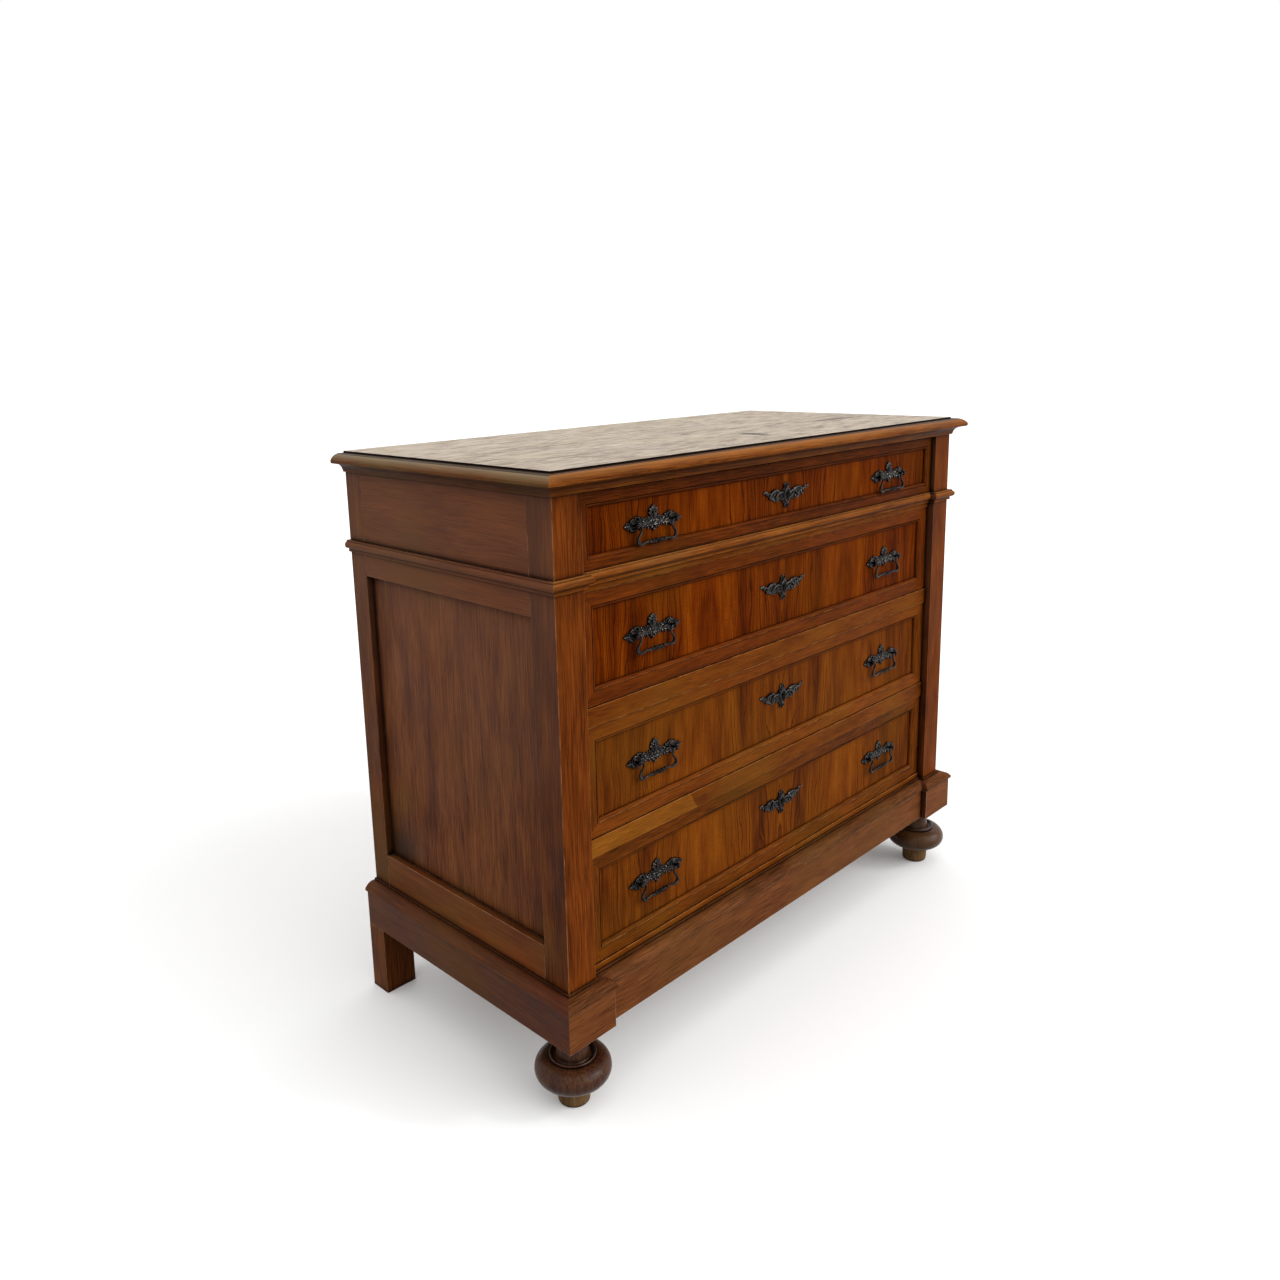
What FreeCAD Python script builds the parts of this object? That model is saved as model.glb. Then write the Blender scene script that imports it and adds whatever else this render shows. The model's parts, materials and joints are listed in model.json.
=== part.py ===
import FreeCAD, Part
import math
import os

# A walnut chest of four long drawers: frame-and-panel case with pilaster corners, cornice, waist moulding and
# broken-out plinth, two turned bun feet in front and square legs behind.
# Millimetres. -Y is the front, +X is to the right for someone who faces it, and Z = 0 is the floor.
# The origin is at the middle of the footprint.

V = FreeCAD.Vector

# ---- case ----------------------------------------------------------------------------------------
case_width = 1158.0
case_depth = 541.0
foot_height = 130.0            # floor to the underside of the plinth
post_width = 58.3              # front posts, across the front (the pilaster face)
post_depth = 54.5              # front posts, along the side
rear_post_width = 41.4
rear_post_depth = 44.4
rear_leg_depth = 46.5
centre_setback = 13.0          # the rails between the pilasters lie this far behind the pilaster faces
panel_recess = 14.0
panel_thickness = 10.0
panel_tongue = 8.0
side_thickness = 26.0          # side rails and frieze boards
side_bottom_rail = 60.1        # visible heights of the side rails
side_top_rail = 40.0
tenon_length = 18.0
tenon_thickness = 12.0
tenon_shoulder = 5.0
mortise_lap = 20.0             # how far boards run on behind a moulding

# ---- storeys, from the plinth up -----------------------------------------------------------------
plinth_board = 66.0
plinth_moulding_height = 20.3
bottom_rail_reveal = 10.2
bottom_rail_height = 45.0
rail_height = 31.0
waist_rail_height = 31.9
top_rail_height = 17.5
opening_heights = (118.1, 182.0, 185.0, 185.0)       # drawers 1 (top) to 4 (bottom)
top_thickness = 22.0
top_lip = 3.0                  # the part of the top that stands above the cornice
top_overhang = 1.0

# ---- mouldings -----------------------------------------------------------------------------------
cornice_projection = 27.5
cornice_height = 33.6
waist_projection = 12.1
waist_height = 21.4
plinth_projection = 21.6
plinth_nose = 25.7

# ---- front feet ----------------------------------------------------------------------------------
foot_inset = 30.0              # foot axis behind the two outer faces of the front post
bun_radius = 63.0
bun_tube = 21.0
bun_centre = 61.0
foot_sides = 20
foot_chamfer = 4.0
ring_height = 4.2
bead_height = 4.8
peg_radius = 27.0
peg_foot_radius = 24.5
ring_radius = 38.0
bead_radius = 28.5
neck_radius = 22.0
neck_top_radius = 24.5
neck_fillet = 4.0
foot_dowel_radius = 12.0
foot_dowel_length = 40.0
glue_fit = 0.05                # radial room of a dowel in its hole

# ---- inside of the case --------------------------------------------------------------------------
runner_bearing = 35.7          # how far the runners reach in under the drawers
runner_thickness = 20.0
guide_width = 24.3
guide_height = 16.0
stop_size = (40.0, 12.0, 6.0)
stop_place = 300.0
back_board_thickness = 12.0
back_board_lap = 19.0
back_board_count = 6
back_rail_thickness = 24.0
back_rail_height = 48.0
bottom_board_thickness = 8.0
bottom_board_tongue = 5.0

# ---- drawers -------------------------------------------------------------------------------------
face_setbacks = (10.0, 15.5, 15.5, 15.5)             # drawer faces behind the pilaster faces
frame_thickness = 6.0
frame_sides = (16.5, 27.0, 27.0, 27.0)
frame_tops = (17.0, 23.0, 23.0, 23.0)
frame_bottoms = (16.0, 23.5, 22.5, 22.5)
frame_ovolo = 5.5
front_thickness = 20.0
drawer_side_gap = 1.5
drawer_front_gap = 0.8         # under a drawer front
drawer_top_gap = 1.2
running_gap = 0.3              # under the drawer sides
drawer_side_thickness = 12.0
drawer_side_drop = 8.0         # sides stand this much lower than the front
drawer_back_drop = 16.0
drawer_back_thickness = 12.0
drawer_back_housing = 4.0
drawer_rear_gap = 10.0         # between the drawer and the back rails
drawer_bottom_thickness = 7.0
drawer_bottom_rise = 10.0
drawer_bottom_groove = 6.0
tail_length = 14.0
tail_slope = 3.0
tail_count = 3
tail_root = 0.5                # root width of a tail, as a share of its pitch

# ---- locks ---------------------------------------------------------------------------------------
lock_width = 62.0
lock_thickness = 11.0
lock_below_key = 15.0
selvedge_thickness = 2.0
selvedge_width = 76.0
bolt_width = 24.0
bolt_thickness = 6.0
bolt_length = 34.0
bolt_throw = 8.0
bolt_gap = 0.25
bolt_mortise_gap = 1.0
key_radius = 3.0
key_slot_width = 3.2
key_slot_drop = 9.0

# ---- pulls and escutcheons -----------------------------------------------------------------------
pull_place = 354.0             # middle of a pull, from the middle of the chest
pull_rises = (-5.0, 0.5, 3.0, 4.0)                   # pull axis above the middle of the drawer opening
escutcheon_rises = (-4.0, 6.5, 11.0, 13.0)
post_distance = 90.0           # between the two posts of a pull
plate_drop = 13.5              # the cast plate below the pull's axis
plate_thickness = 2.5
rosette_radius = 11.0
rosette_thickness = 3.6
crest_radius = 10.5
crest_rise = 15.0              # middle of the crest above the pull's axis
pull_post_length = 14.0
pull_post_head = 4.0
bail_axis_out = 10.2           # bail axis in front of the drawer's field
pintle_radius = 1.5
pintle_flat = 1.0              # half the height over the two flats of a pintle
pintle_fit = 0.05
pintle_in_head = 6.0
bail_drop = 28.0
bail_wire = 1.9                # radius of the bail's wire
bail_head_gap = 0.5            # between a bail arm and the head of its post
bail_foot = 42.0               # bottom corner of the bail, from the middle of the pull
grip_half = 17.0
grip_radius = 3.9
escutcheon_half_width = 68.0
escutcheon_half_height = 24.0
escutcheon_thickness = 2.0
shield_half_width = 10.0
shield_half_height = 15.0
shield_thickness = 3.6

# ---- places worked out from the sizes ------------------------------------------------------------
front_reach = max(cornice_projection, bun_radius - foot_inset)
y_face = -(case_depth + front_reach) / 2 + front_reach      # pilaster faces
y_back = y_face + case_depth
y_rail = y_face + centre_setback
y_rail_back = y_face + post_depth
y_rear_post = y_back - rear_post_depth
half_width = case_width / 2
half_opening = half_width - post_width
side_inner = half_width - side_thickness

z_plinth_top = foot_height + plinth_board
z_moulding_top = z_plinth_top + plinth_moulding_height
z_bottom_rail = z_moulding_top + bottom_rail_reveal
z_panel_low = z_moulding_top + side_bottom_rail


def opening_floors():
    """The bottom of each drawer opening, from drawer 1 down to drawer 4."""
    floor_4 = z_bottom_rail
    floor_3 = floor_4 + opening_heights[3] + rail_height
    floor_2 = floor_3 + opening_heights[2] + rail_height
    floor_1 = floor_2 + opening_heights[1] + waist_rail_height
    return floor_1, floor_2, floor_3, floor_4


floors = opening_floors()
z_waist_top = floors[0]
z_waist_low = z_waist_top - waist_height
z_panel_high = z_waist_low - side_top_rail
z_top_rail = z_waist_top + opening_heights[0]
z_top_under = z_top_rail + top_rail_height
z_top = z_top_under + top_thickness
z_cornice_top = z_top - top_lip
z_cornice_low = z_cornice_top - cornice_height
y_back_rail = y_back - back_board_thickness - back_rail_thickness


# ---- tools ---------------------------------------------------------------------------------------
def box(x0, x1, y0, y1, z0, z1):
    """A box between six planes."""
    return Part.makeBox(x1 - x0, y1 - y0, z1 - z0, V(x0, y0, z0))


def mirrored(shape):
    """The same piece on the chest's other side."""
    return shape.mirror(V(0, 0, 0), V(1, 0, 0))


def pair(shape):
    return [shape, mirrored(shape)]


def united(shapes):
    """One solid from solids that touch or overlap."""
    whole = shapes[0].multiFuse(shapes[1:]) if len(shapes) > 1 else shapes[0]
    return whole.removeSplitter().Solids[0]


def without(shape, tools):
    """A solid less the space that other solids take."""
    for tool in tools:
        shape = shape.cut(tool)
    return shape.Solids[0]


def outline_face(steps, place):
    """A flat face from corner points and arcs.

    steps is a list of (a, b) corners and of ((a, b), (a, b)) arcs: a point on the arc and the arc's end.
    place turns (a, b) into a point in space.
    """
    here = steps[0]
    edges = []
    for step in steps[1:] + [steps[0]]:
        if isinstance(step[0], tuple):
            middle, end = step
            edges.append(Part.Arc(place(*here), place(*middle), place(*end)).toShape())
            here = end
        else:
            if place(*here).distanceToPoint(place(*step)) > 1e-6:
                edges.append(Part.LineSegment(place(*here), place(*step)).toShape())
            here = step
    return Part.Face(Part.Wire(edges))


def plate_solid(steps, y_front, y_rear):
    """An outline in the XZ plane, given thickness along Y."""
    return outline_face(steps, lambda x, z: V(x, y_rear, z)).extrude(V(0, y_front - y_rear, 0))


def ringed_solid(rings):
    """A solid with flat faces, skinned over rings of points that all hold the same number of corners."""
    faces = [Part.Face(Part.makePolygon(ring + [ring[0]])) for ring in (rings[0], rings[-1])]
    for low, high in zip(rings, rings[1:]):
        for i in range(len(low)):
            corners = [low[i - 1], low[i], high[i], high[i - 1]]
            faces.append(Part.Face(Part.makePolygon(corners + [corners[0]])))
    solid = Part.makeSolid(Part.makeShell(faces))
    return solid if solid.Volume > 0 else solid.reversed()


def ring_about(centre, across, upward, sides):
    """The corners of a many-sided ring; across and upward carry its two radii, measured to the flats."""
    angles = [2 * math.pi * (i + 0.5) / sides for i in range(sides)]
    to_corner = 1 / math.cos(math.pi / sides)
    return [centre + (across * math.cos(a) + upward * math.sin(a)) * to_corner for a in angles]


def turned(steps, foot, axis, sides):
    """A turned piece with a many-sided section. steps are (radius, distance along the axis from its foot)."""
    across = V(1, 0, 0)
    upward = axis.cross(across)
    rings = [ring_about(foot + axis * along, across * r, upward * r, sides) for r, along in steps]
    return ringed_solid(rings)


# ---- mouldings run round the case ----------------------------------------------------------------
def case_path(broken):
    """The plan of the case faces, from back left to back right; broken steps back between the pilasters."""
    left = [V(-half_width, y_back, 0), V(-half_width, y_face, 0)]
    right = [V(half_width, y_face, 0), V(half_width, y_back, 0)]
    if not broken:
        return left + right
    step = [V(-half_opening, y_face, 0), V(-half_opening, y_rail, 0),
            V(half_opening, y_rail, 0), V(half_opening, y_face, 0)]
    return left + step + right


def outward(start, end):
    """The unit vector that points out of the case along one run of its plan."""
    run = (end - start).normalize()
    return V(run.y, -run.x, 0)


def mitred_lengths(profile, path):
    """One solid per straight run of a moulding, with its ends cut on the mitre lines.

    The profile's first number is the distance out of the case face, its second the height.
    """
    normals = [outward(a, b) for a, b in zip(path, path[1:])]
    mitres = [normals[0]]
    for before, after in zip(normals, normals[1:]):
        mitres.append((before + after) * (1 / (1 + before.dot(after))))
    mitres.append(normals[-1])
    reach = 2 * (cornice_projection + plinth_nose)
    lengths = []
    for index, normal in enumerate(normals):
        start, end = path[index], path[index + 1]
        run = (end - start).normalize()
        origin = start - run * reach
        face = outline_face(profile, lambda out, z: origin + normal * out + V(0, 0, z))
        bar = face.extrude(run * (start.distanceToPoint(end) + 2 * reach))
        plan = [start, end, end + mitres[index + 1] * reach, start + mitres[index] * reach, start]
        trim = Part.Face(Part.makePolygon(plan)).extrude(V(0, 0, z_top + reach))
        lengths.append(bar.common(trim).Solids[0])
    return lengths


def cornice_profile():
    """Cavetto below, fillet, and a broad ovolo that rises to the top board."""
    low, high, nose = z_cornice_low, z_cornice_top, cornice_projection
    return [(0, low), (4, low), (5, low + 3.5), ((9.5, low + 11.5), (nose - 8.5, low + 15.6)),
            (nose - 1.5, low + 16.6), (nose, low + 18.5), (nose, high - 11),
            ((nose - 7, high - 3.6), (4, high - 0.6)), (4, high), (0, high)]


def waist_profile():
    """Top fillet, half-round nose and a narrow fillet under it."""
    low, high, nose = z_waist_low, z_waist_top, waist_projection
    return [(0, low), (4.5, low), (4.5, low + 6.5), (7, low + 6.5), ((nose, low + 12.8), (7, high - 2.3)),
            (8, high - 2.3), (8, high), (0, high)]


def plinth_profile():
    """Fillet against the case, thumb moulding, and a small return to the plinth face."""
    low, high, nose = z_plinth_top, z_moulding_top, plinth_nose
    return [(0, low), (plinth_projection, low), (nose, low + 3.2), (nose, low + 6.2),
            ((nose - 6.5, low + 14), (6, low + 17.3)), (4, low + 17.3), (4, high), (0, high)]


def cornice_moulding():
    left, front, right = mitred_lengths(cornice_profile(), case_path(broken=False))
    packing = box(-half_opening, half_opening, y_face, y_rail, z_cornice_low, z_top_under)
    return [left, united([front, packing]), right]


def plinth_boards():
    """Side boards, corner blocks with their returns, and the centre board."""
    board = [(0, foot_height), (plinth_projection, foot_height), (plinth_projection, z_plinth_top),
             (0, z_plinth_top)]
    lengths = mitred_lengths(board, case_path(broken=True))
    left, block, block_return, centre, right_return, right_block, right = lengths
    return [left, united([block, block_return]), centre, united([right_return, right_block]), right]


# ---- case frame ----------------------------------------------------------------------------------
def cross_rail(reach, y0, y1, z0, z1, shoulder=tenon_shoulder):
    """A rail across the chest with a tenon at each end."""
    middle = (y0 + y1) / 2
    body = box(-reach, reach, y0, y1, z0, z1)
    tenon = box(-reach - tenon_length, reach + tenon_length, middle - tenon_thickness / 2,
                middle + tenon_thickness / 2, z0 + shoulder, z1 - shoulder)
    return united([body, tenon])


def bolt_place(index):
    """The y range of a drawer's lock bolt."""
    rear = y_face + face_setbacks[index] + frame_thickness + front_thickness
    front = rear - lock_thickness + (lock_thickness - bolt_thickness) / 2
    return front, front + bolt_thickness


def bolt_mortise(index):
    """The pocket over drawer index that its lock bolt rises into."""
    front, rear = bolt_place(index)
    room = bolt_mortise_gap
    ceiling = floors[index] + opening_heights[index]
    return box(-bolt_width / 2 - room, bolt_width / 2 + room, front - room, rear + room,
               ceiling - room, ceiling + bolt_throw + room)


def front_rails():
    """Top rail, waist rail, two rails between drawers and the bottom rail."""
    spans = [(z_top_rail, z_top_under), (floors[0] - waist_rail_height, floors[0]),
             (floors[1] - rail_height, floors[1]), (floors[2] - rail_height, floors[2]),
             (floors[3] - bottom_rail_height, floors[3])]
    rails = [cross_rail(half_opening, y_rail, y_rail_back, low, high) for low, high in spans]
    for index in range(len(opening_heights)):
        rails[index] = without(rails[index], [bolt_mortise(index)])
    return rails


def back_rails():
    reach = half_width - rear_post_width
    rear = y_back - back_board_thickness
    top = cross_rail(reach, y_back_rail, rear, z_top_under - back_rail_height, z_top_under)
    low = cross_rail(reach, y_back_rail, rear, z_bottom_rail - back_rail_height, z_bottom_rail)
    return [top, low]


def side_rail(z0, z1):
    """A rail or frieze board on the right side, tenoned into both posts."""
    body = box(side_inner, half_width, y_rail_back, y_rear_post, z0, z1)
    middle = (side_inner + half_width) / 2
    tenon = box(middle - tenon_thickness / 2, middle + tenon_thickness / 2, y_rail_back - tenon_length,
                y_rear_post + tenon_length, z0 + tenon_shoulder, z1 - tenon_shoulder)
    return united([body, tenon])


def side_panel():
    """The recessed panel of the right side, with its tongues in the frame's grooves."""
    outer = half_width - panel_recess
    return box(outer - panel_thickness, outer, y_rail_back - panel_tongue, y_rear_post + panel_tongue,
               z_panel_low - panel_tongue, z_panel_high + panel_tongue)


def side_rails():
    """Bottom and top rail of the right side, grooved for the panel and the bottom board."""
    low = side_rail(foot_height + mortise_lap, z_panel_low)
    high = side_rail(z_panel_high, z_waist_low + waist_height / 2)
    return [without(low, [side_panel(), bottom_board()]), without(high, [side_panel()])]


def frieze_board():
    return side_rail(z_waist_low + waist_height / 2, z_top_under)


def bottom_board():
    """Closes the case under the bottom drawer, held in grooves all round."""
    tongue = bottom_board_tongue
    return box(-side_inner - tongue, side_inner + tongue, y_rail_back - tongue, y_back_rail + tongue,
               z_plinth_top, z_plinth_top + bottom_board_thickness)


def front_post(rails):
    """The right front post: pilaster face, mortises for the rails and a hole for the foot's dowel."""
    body = box(half_opening, half_width, y_face, y_rail_back, foot_height, z_top_under)
    bore = foot_dowel_radius + glue_fit
    hole = turned([(bore, 0), (bore, foot_dowel_length + 1)],
                  V(half_width - foot_inset, y_face + foot_inset, foot_height), V(0, 0, 1), foot_sides)
    return without(body, rails + side_rails() + [frieze_board(), side_panel(), bottom_board(), hole])


def rear_post():
    """The right rear post, rebated for the back boards, with the square leg below the plinth."""
    body = box(half_width - rear_post_width, half_width, y_rear_post, y_back, foot_height, z_top_under)
    leg = box(half_width - rear_post_width, half_width + plinth_projection, y_back - rear_leg_depth, y_back,
              0, foot_height)
    rebate = box(half_width - rear_post_width - 1, half_width - rear_post_width + back_board_lap,
                 y_back - back_board_thickness, y_back + 1, z_bottom_rail - back_rail_height, z_top_under + 1)
    return without(united([body, leg]), [rebate] + back_rails() + side_rails()
                   + [frieze_board(), side_panel(), bottom_board()])


def back_boards():
    """Upright boards side by side, in the rebates of the rear posts."""
    reach = half_width - rear_post_width + back_board_lap
    width = 2 * reach / back_board_count
    low = z_bottom_rail - back_rail_height
    front = y_back - back_board_thickness
    edges = [-reach + i * width for i in range(back_board_count)]
    return [box(edge, edge + width, front, y_back, low, z_top_under) for edge in edges]


def top_board():
    """The top, with a thin lip that stands over the cornice."""
    reach = half_width + top_overhang
    body = box(-half_width, half_width, y_face, y_back, z_top_under, z_cornice_top)
    lip = box(-reach, reach, y_face - top_overhang, y_back, z_cornice_top, z_top)
    return united([body, lip])


def bun_outline():
    """Corners along the round side of the bun, from the peg up to the ring.

    Each is a share of the way out from the peg or the ring, and a height in radii of the rounding.
    """
    lower = [(0.0, -0.7), (0.41, -1.0), (0.83, -0.71)]
    upper = [(1.0, 0.0), (0.86, 0.55), (0.48, 0.92), (0.0, 0.98)]
    return [(inner + (bun_radius - inner) * share, bun_centre + bun_tube * height)
            for inner, half in ((peg_radius, lower), (ring_radius, upper)) for share, height in half]


def front_foot():
    """The right front foot: peg, bun, ring, bead and neck turned in one piece, with a dowel on top."""
    foot = V(half_width - foot_inset, y_face + foot_inset, 0)
    bun = bun_outline()
    shoulder = bun[-1][1]
    ring_top = shoulder + ring_height
    bead_top = ring_top + bead_height
    steps = [(peg_foot_radius - foot_chamfer, 0), (peg_foot_radius, foot_chamfer)] + bun
    steps += [(ring_radius, ring_top), (bead_radius, ring_top), (bead_radius, bead_top),
              (neck_radius, bead_top + neck_fillet), (neck_top_radius, foot_height),
              (foot_dowel_radius, foot_height), (foot_dowel_radius, foot_height + foot_dowel_length)]
    return turned(steps, foot, V(0, 0, 1), foot_sides)


def drawer_runners():
    """The runners that carry the drawers, and the kickers over the top drawer."""
    spans = [(floor - runner_thickness, floor) for floor in floors] + [(z_top_rail, z_top_under)]
    return [piece for low, high in spans
            for piece in pair(box(half_opening - runner_bearing, side_inner, y_rail_back, y_rear_post,
                                  low, high))]


def drawer_guides():
    """Strips that guide the drawer sides, and blocks on the front rails that stop the drawer fronts."""
    pieces = []
    width, depth, height = stop_size
    for index, floor in enumerate(floors):
        pieces += pair(box(half_opening, half_opening + guide_width, y_rail_back, y_rear_post,
                           floor, floor + guide_height))
        stop_front = y_face + face_setbacks[index] + frame_thickness + front_thickness + running_gap
        pieces += pair(box(stop_place, stop_place + width, stop_front, stop_front + depth,
                           floor, floor + height))
    return pieces


# ---- drawers -------------------------------------------------------------------------------------
class DrawerSizes:
    """The planes that one drawer's pieces share."""

    def __init__(self, index):
        self.index = index
        self.floor = floors[index]
        self.ceiling = self.floor + opening_heights[index]
        self.half = half_opening - drawer_side_gap
        self.low = self.floor + drawer_front_gap
        self.high = self.ceiling - drawer_top_gap
        self.y_frame = y_face + face_setbacks[index]
        self.y_field = self.y_frame + frame_thickness
        self.y_inside = self.y_field + front_thickness
        self.y_end = y_back_rail - drawer_rear_gap
        self.z_middle = (self.floor + self.ceiling) / 2
        self.z_pull = self.z_middle + pull_rises[index]
        self.z_key = self.z_middle + escutcheon_rises[index]
        self.side_low = self.floor + running_gap
        self.side_high = self.high - drawer_side_drop
        self.bottom_low = self.floor + drawer_bottom_rise
        self.bottom_high = self.bottom_low + drawer_bottom_thickness


def drawer_bottom(d):
    reach = d.half - drawer_side_thickness + drawer_bottom_groove
    return box(-reach, reach, d.y_inside - drawer_bottom_groove, d.y_end, d.bottom_low, d.bottom_high)


def dovetail_tails(d):
    """The tails on the front end of the right drawer side: wider at the tip, to lock in the front."""
    low, high = d.bottom_high + 4, d.side_high - 2
    pitch = (high - low) / tail_count
    tails = []
    for i in range(tail_count):
        middle = low + (i + 0.5) * pitch
        root = tail_root * pitch / 2
        tip = root + tail_slope
        corners = [(d.y_inside, middle - root), (d.y_inside, middle + root),
                   (d.y_inside - tail_length, middle + tip), (d.y_inside - tail_length, middle - tip)]
        face = outline_face(corners, lambda y, z: V(d.half - drawer_side_thickness, y, z))
        tails.append(face.extrude(V(drawer_side_thickness, 0, 0)))
    return tails


def drawer_back(d):
    reach = d.half - drawer_side_thickness + drawer_back_housing
    front = d.y_end - drawer_back_thickness
    return box(-reach, reach, front, d.y_end, d.bottom_high, d.high - drawer_back_drop)


def drawer_side(d):
    """The right side, dovetailed into the front, grooved for the bottom and housed for the back."""
    plank = box(d.half - drawer_side_thickness, d.half, d.y_inside, d.y_end, d.side_low, d.side_high)
    return without(united([plank] + dovetail_tails(d)), [drawer_bottom(d), drawer_back(d)])


def drawer_box(d):
    return pair(drawer_side(d)) + [drawer_back(d)]


def keyhole(d, y_front, y_rear, room=0.0):
    """The keyhole's space between two planes."""
    radius = key_radius + room
    eye = turned([(radius, 0), (radius, y_rear - y_front)], V(0, y_rear, d.z_key + radius), V(0, -1, 0), 8)
    slot = box(-key_slot_width / 2 - room, key_slot_width / 2 + room, y_front, y_rear,
               d.z_key - key_slot_drop + radius, d.z_key + radius)
    return united([eye, slot])


def drawer_front(d):
    """The front board: dovetail sockets, groove for the bottom, keyhole and recess for the lock."""
    board = box(-d.half, d.half, d.y_field, d.y_inside, d.low, d.high)
    sockets = dovetail_tails(d) + [mirrored(tail) for tail in dovetail_tails(d)]
    recess = lock_outline(d)
    hole = keyhole(d, d.y_field - 1, d.y_inside, 0.5)
    return without(board, sockets + recess + [drawer_bottom(d), hole])


def drawer_frame(d):
    """The applied frame: four strips with a quarter-round inner edge, mitred at the corners."""
    side, top, low = frame_sides[d.index], frame_tops[d.index], frame_bottoms[d.index]
    y0, y1 = d.y_frame, d.y_field
    x_arris = d.half - side
    z_low_arris, z_top_arris = d.low + low, d.high - top
    x_in, z_low_in, z_top_in = x_arris - frame_ovolo, z_low_arris + frame_ovolo, z_top_arris - frame_ovolo
    outer = box(-d.half, d.half, y0, y1, d.low, d.high)
    ring = outer.cut(box(-x_in, x_in, y0 - 1, y1 + 1, z_low_in, z_top_in))
    front_edges = [e for e in ring.Edges if e.BoundBox.YMax < y0 + frame_ovolo / 2]
    inner_edges = [e for e in front_edges if max(abs(e.BoundBox.XMin), abs(e.BoundBox.XMax)) < x_arris]
    ring = ring.makeFillet(frame_ovolo, inner_edges)
    top_strip = [(-d.half, d.high), (d.half, d.high), (x_arris, z_top_arris), (x_in, z_top_in),
                 (-x_in, z_top_in), (-x_arris, z_top_arris)]
    low_strip = [(-d.half, d.low), (d.half, d.low), (x_arris, z_low_arris), (x_in, z_low_in),
                 (-x_in, z_low_in), (-x_arris, z_low_arris)]
    side_strip = [(d.half, d.low), (d.half, d.high), (x_arris, z_top_arris), (x_in, z_top_in),
                  (x_in, z_low_in), (x_arris, z_low_arris)]
    trims = [plate_solid(strip, y0, y1) for strip in (top_strip, low_strip, side_strip)]
    trims.append(mirrored(trims[-1]))
    return [ring.common(trim).Solids[0] for trim in trims]


# ---- locks ---------------------------------------------------------------------------------------
def lock_outline(d):
    """Lock case and selvedge as plain boxes: the shape of the recess in the front."""
    y0, z1 = d.y_inside - lock_thickness, d.high - selvedge_thickness
    case = box(-lock_width / 2, lock_width / 2, y0, d.y_inside, d.z_key - lock_below_key, z1)
    selvedge = box(-selvedge_width / 2, selvedge_width / 2, y0, d.y_inside, z1, d.high)
    return [case, selvedge]


def lock_bolt(d, room=0.0):
    """The bolt, its top flush with the selvedge while the drawer is unlocked."""
    front, rear = bolt_place(d.index)
    return box(-bolt_width / 2 - room, bolt_width / 2 + room, front - room, rear + room,
               d.high - bolt_length - room, d.high + room)


def lock(d):
    hole = keyhole(d, d.y_inside - lock_thickness - 1, d.y_inside - lock_thickness / 2)
    return without(united(lock_outline(d)), [lock_bolt(d, bolt_gap), hole])


# ---- pulls ---------------------------------------------------------------------------------------
def spread(points, across, upward):
    """Outline points that are given as shares of two sizes."""
    return [(a * across, b * upward) for a, b in points]


def pull_outline():
    """The cast plate's outline about its own middle: pendant, scrolled body and stem of the crest."""
    right = [(0.09, -0.6), (0.24, -0.63), (0.31, -0.41), (0.53, -0.37), (0.62, -0.56), (0.78, -0.37),
             (0.78, 0.37), (0.62, 0.63), (0.53, 0.41), (0.38, 0.44), (0.29, 0.7), (0.18, 0.89)]
    left = [(-a, b) for a, b in reversed(right)]
    return spread([(0, -1)] + right + left, post_distance / 2, plate_drop)


def pull_plate(x, z, y_field):
    """One cast plate: body, pierced crest, rosettes, leaf tips and the two posts that hold the bail."""
    forward = V(0, -1, 0)
    crest = turned([(crest_radius, 0), (crest_radius, plate_thickness)], V(0, 0, crest_rise), forward, 8)
    finial = spread([(-0.33, 0.85), (0.33, 0.85), (0, 1.24)], crest_radius, crest_radius)
    finial = plate_solid([(a, crest_rise + b) for a, b in finial], -plate_thickness, 0)
    solids = [plate_solid(pull_outline(), -plate_thickness, 0), crest, finial]
    pierced = [(crest_radius * 0.22, -1), (crest_radius * 0.22, plate_thickness + 1)]
    cuts = []
    for side in (-1, 1):
        hole = V(side * 0.42 * crest_radius, 0, crest_rise + 0.19 * crest_radius)
        cuts.append(turned(pierced, hole, forward, 4))
        middle = V(side * post_distance / 2, 0, 0)
        rosette = [(rosette_radius, 0), (rosette_radius * 0.9, rosette_thickness)]
        leaf = spread([(0.82, -0.36), (1.27, -0.5), (2, 0), (1.27, 0.5), (0.82, 0.36)],
                      side * rosette_radius, rosette_radius)
        leaf = plate_solid([(middle.x + a, b) for a, b in leaf], -plate_thickness, 0)
        solids += [turned(rosette, middle, forward, 8), leaf, pull_post(middle)]
    bore_end = post_distance / 2 - pull_post_head + pintle_in_head + bail_head_gap
    bore = cross_pin(-bore_end, bore_end, pintle_radius + pintle_fit, 8)
    bore.translate(V(0, -bail_axis_out, 0))
    whole = without(united(solids), cuts + [bore])
    whole.translate(V(x, y_field, z))
    return whole


def cross_pin(x0, x1, radius, sides):
    """A pin along X between two places, with its radius measured to the flats."""
    return ringed_solid([ring_about(V(x, 0, 0), V(0, radius, 0), V(0, 0, radius), sides) for x in (x0, x1)])


def pull_post(foot):
    """A post with a rounded head that holds one end of the bail."""
    steps = spread([(0.7, 0), (0.6, 0.33), (1, 0.56), (1, 1)], pull_post_head, pull_post_length)
    return turned(steps, foot, V(0, -1, 0), 6)


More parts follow.
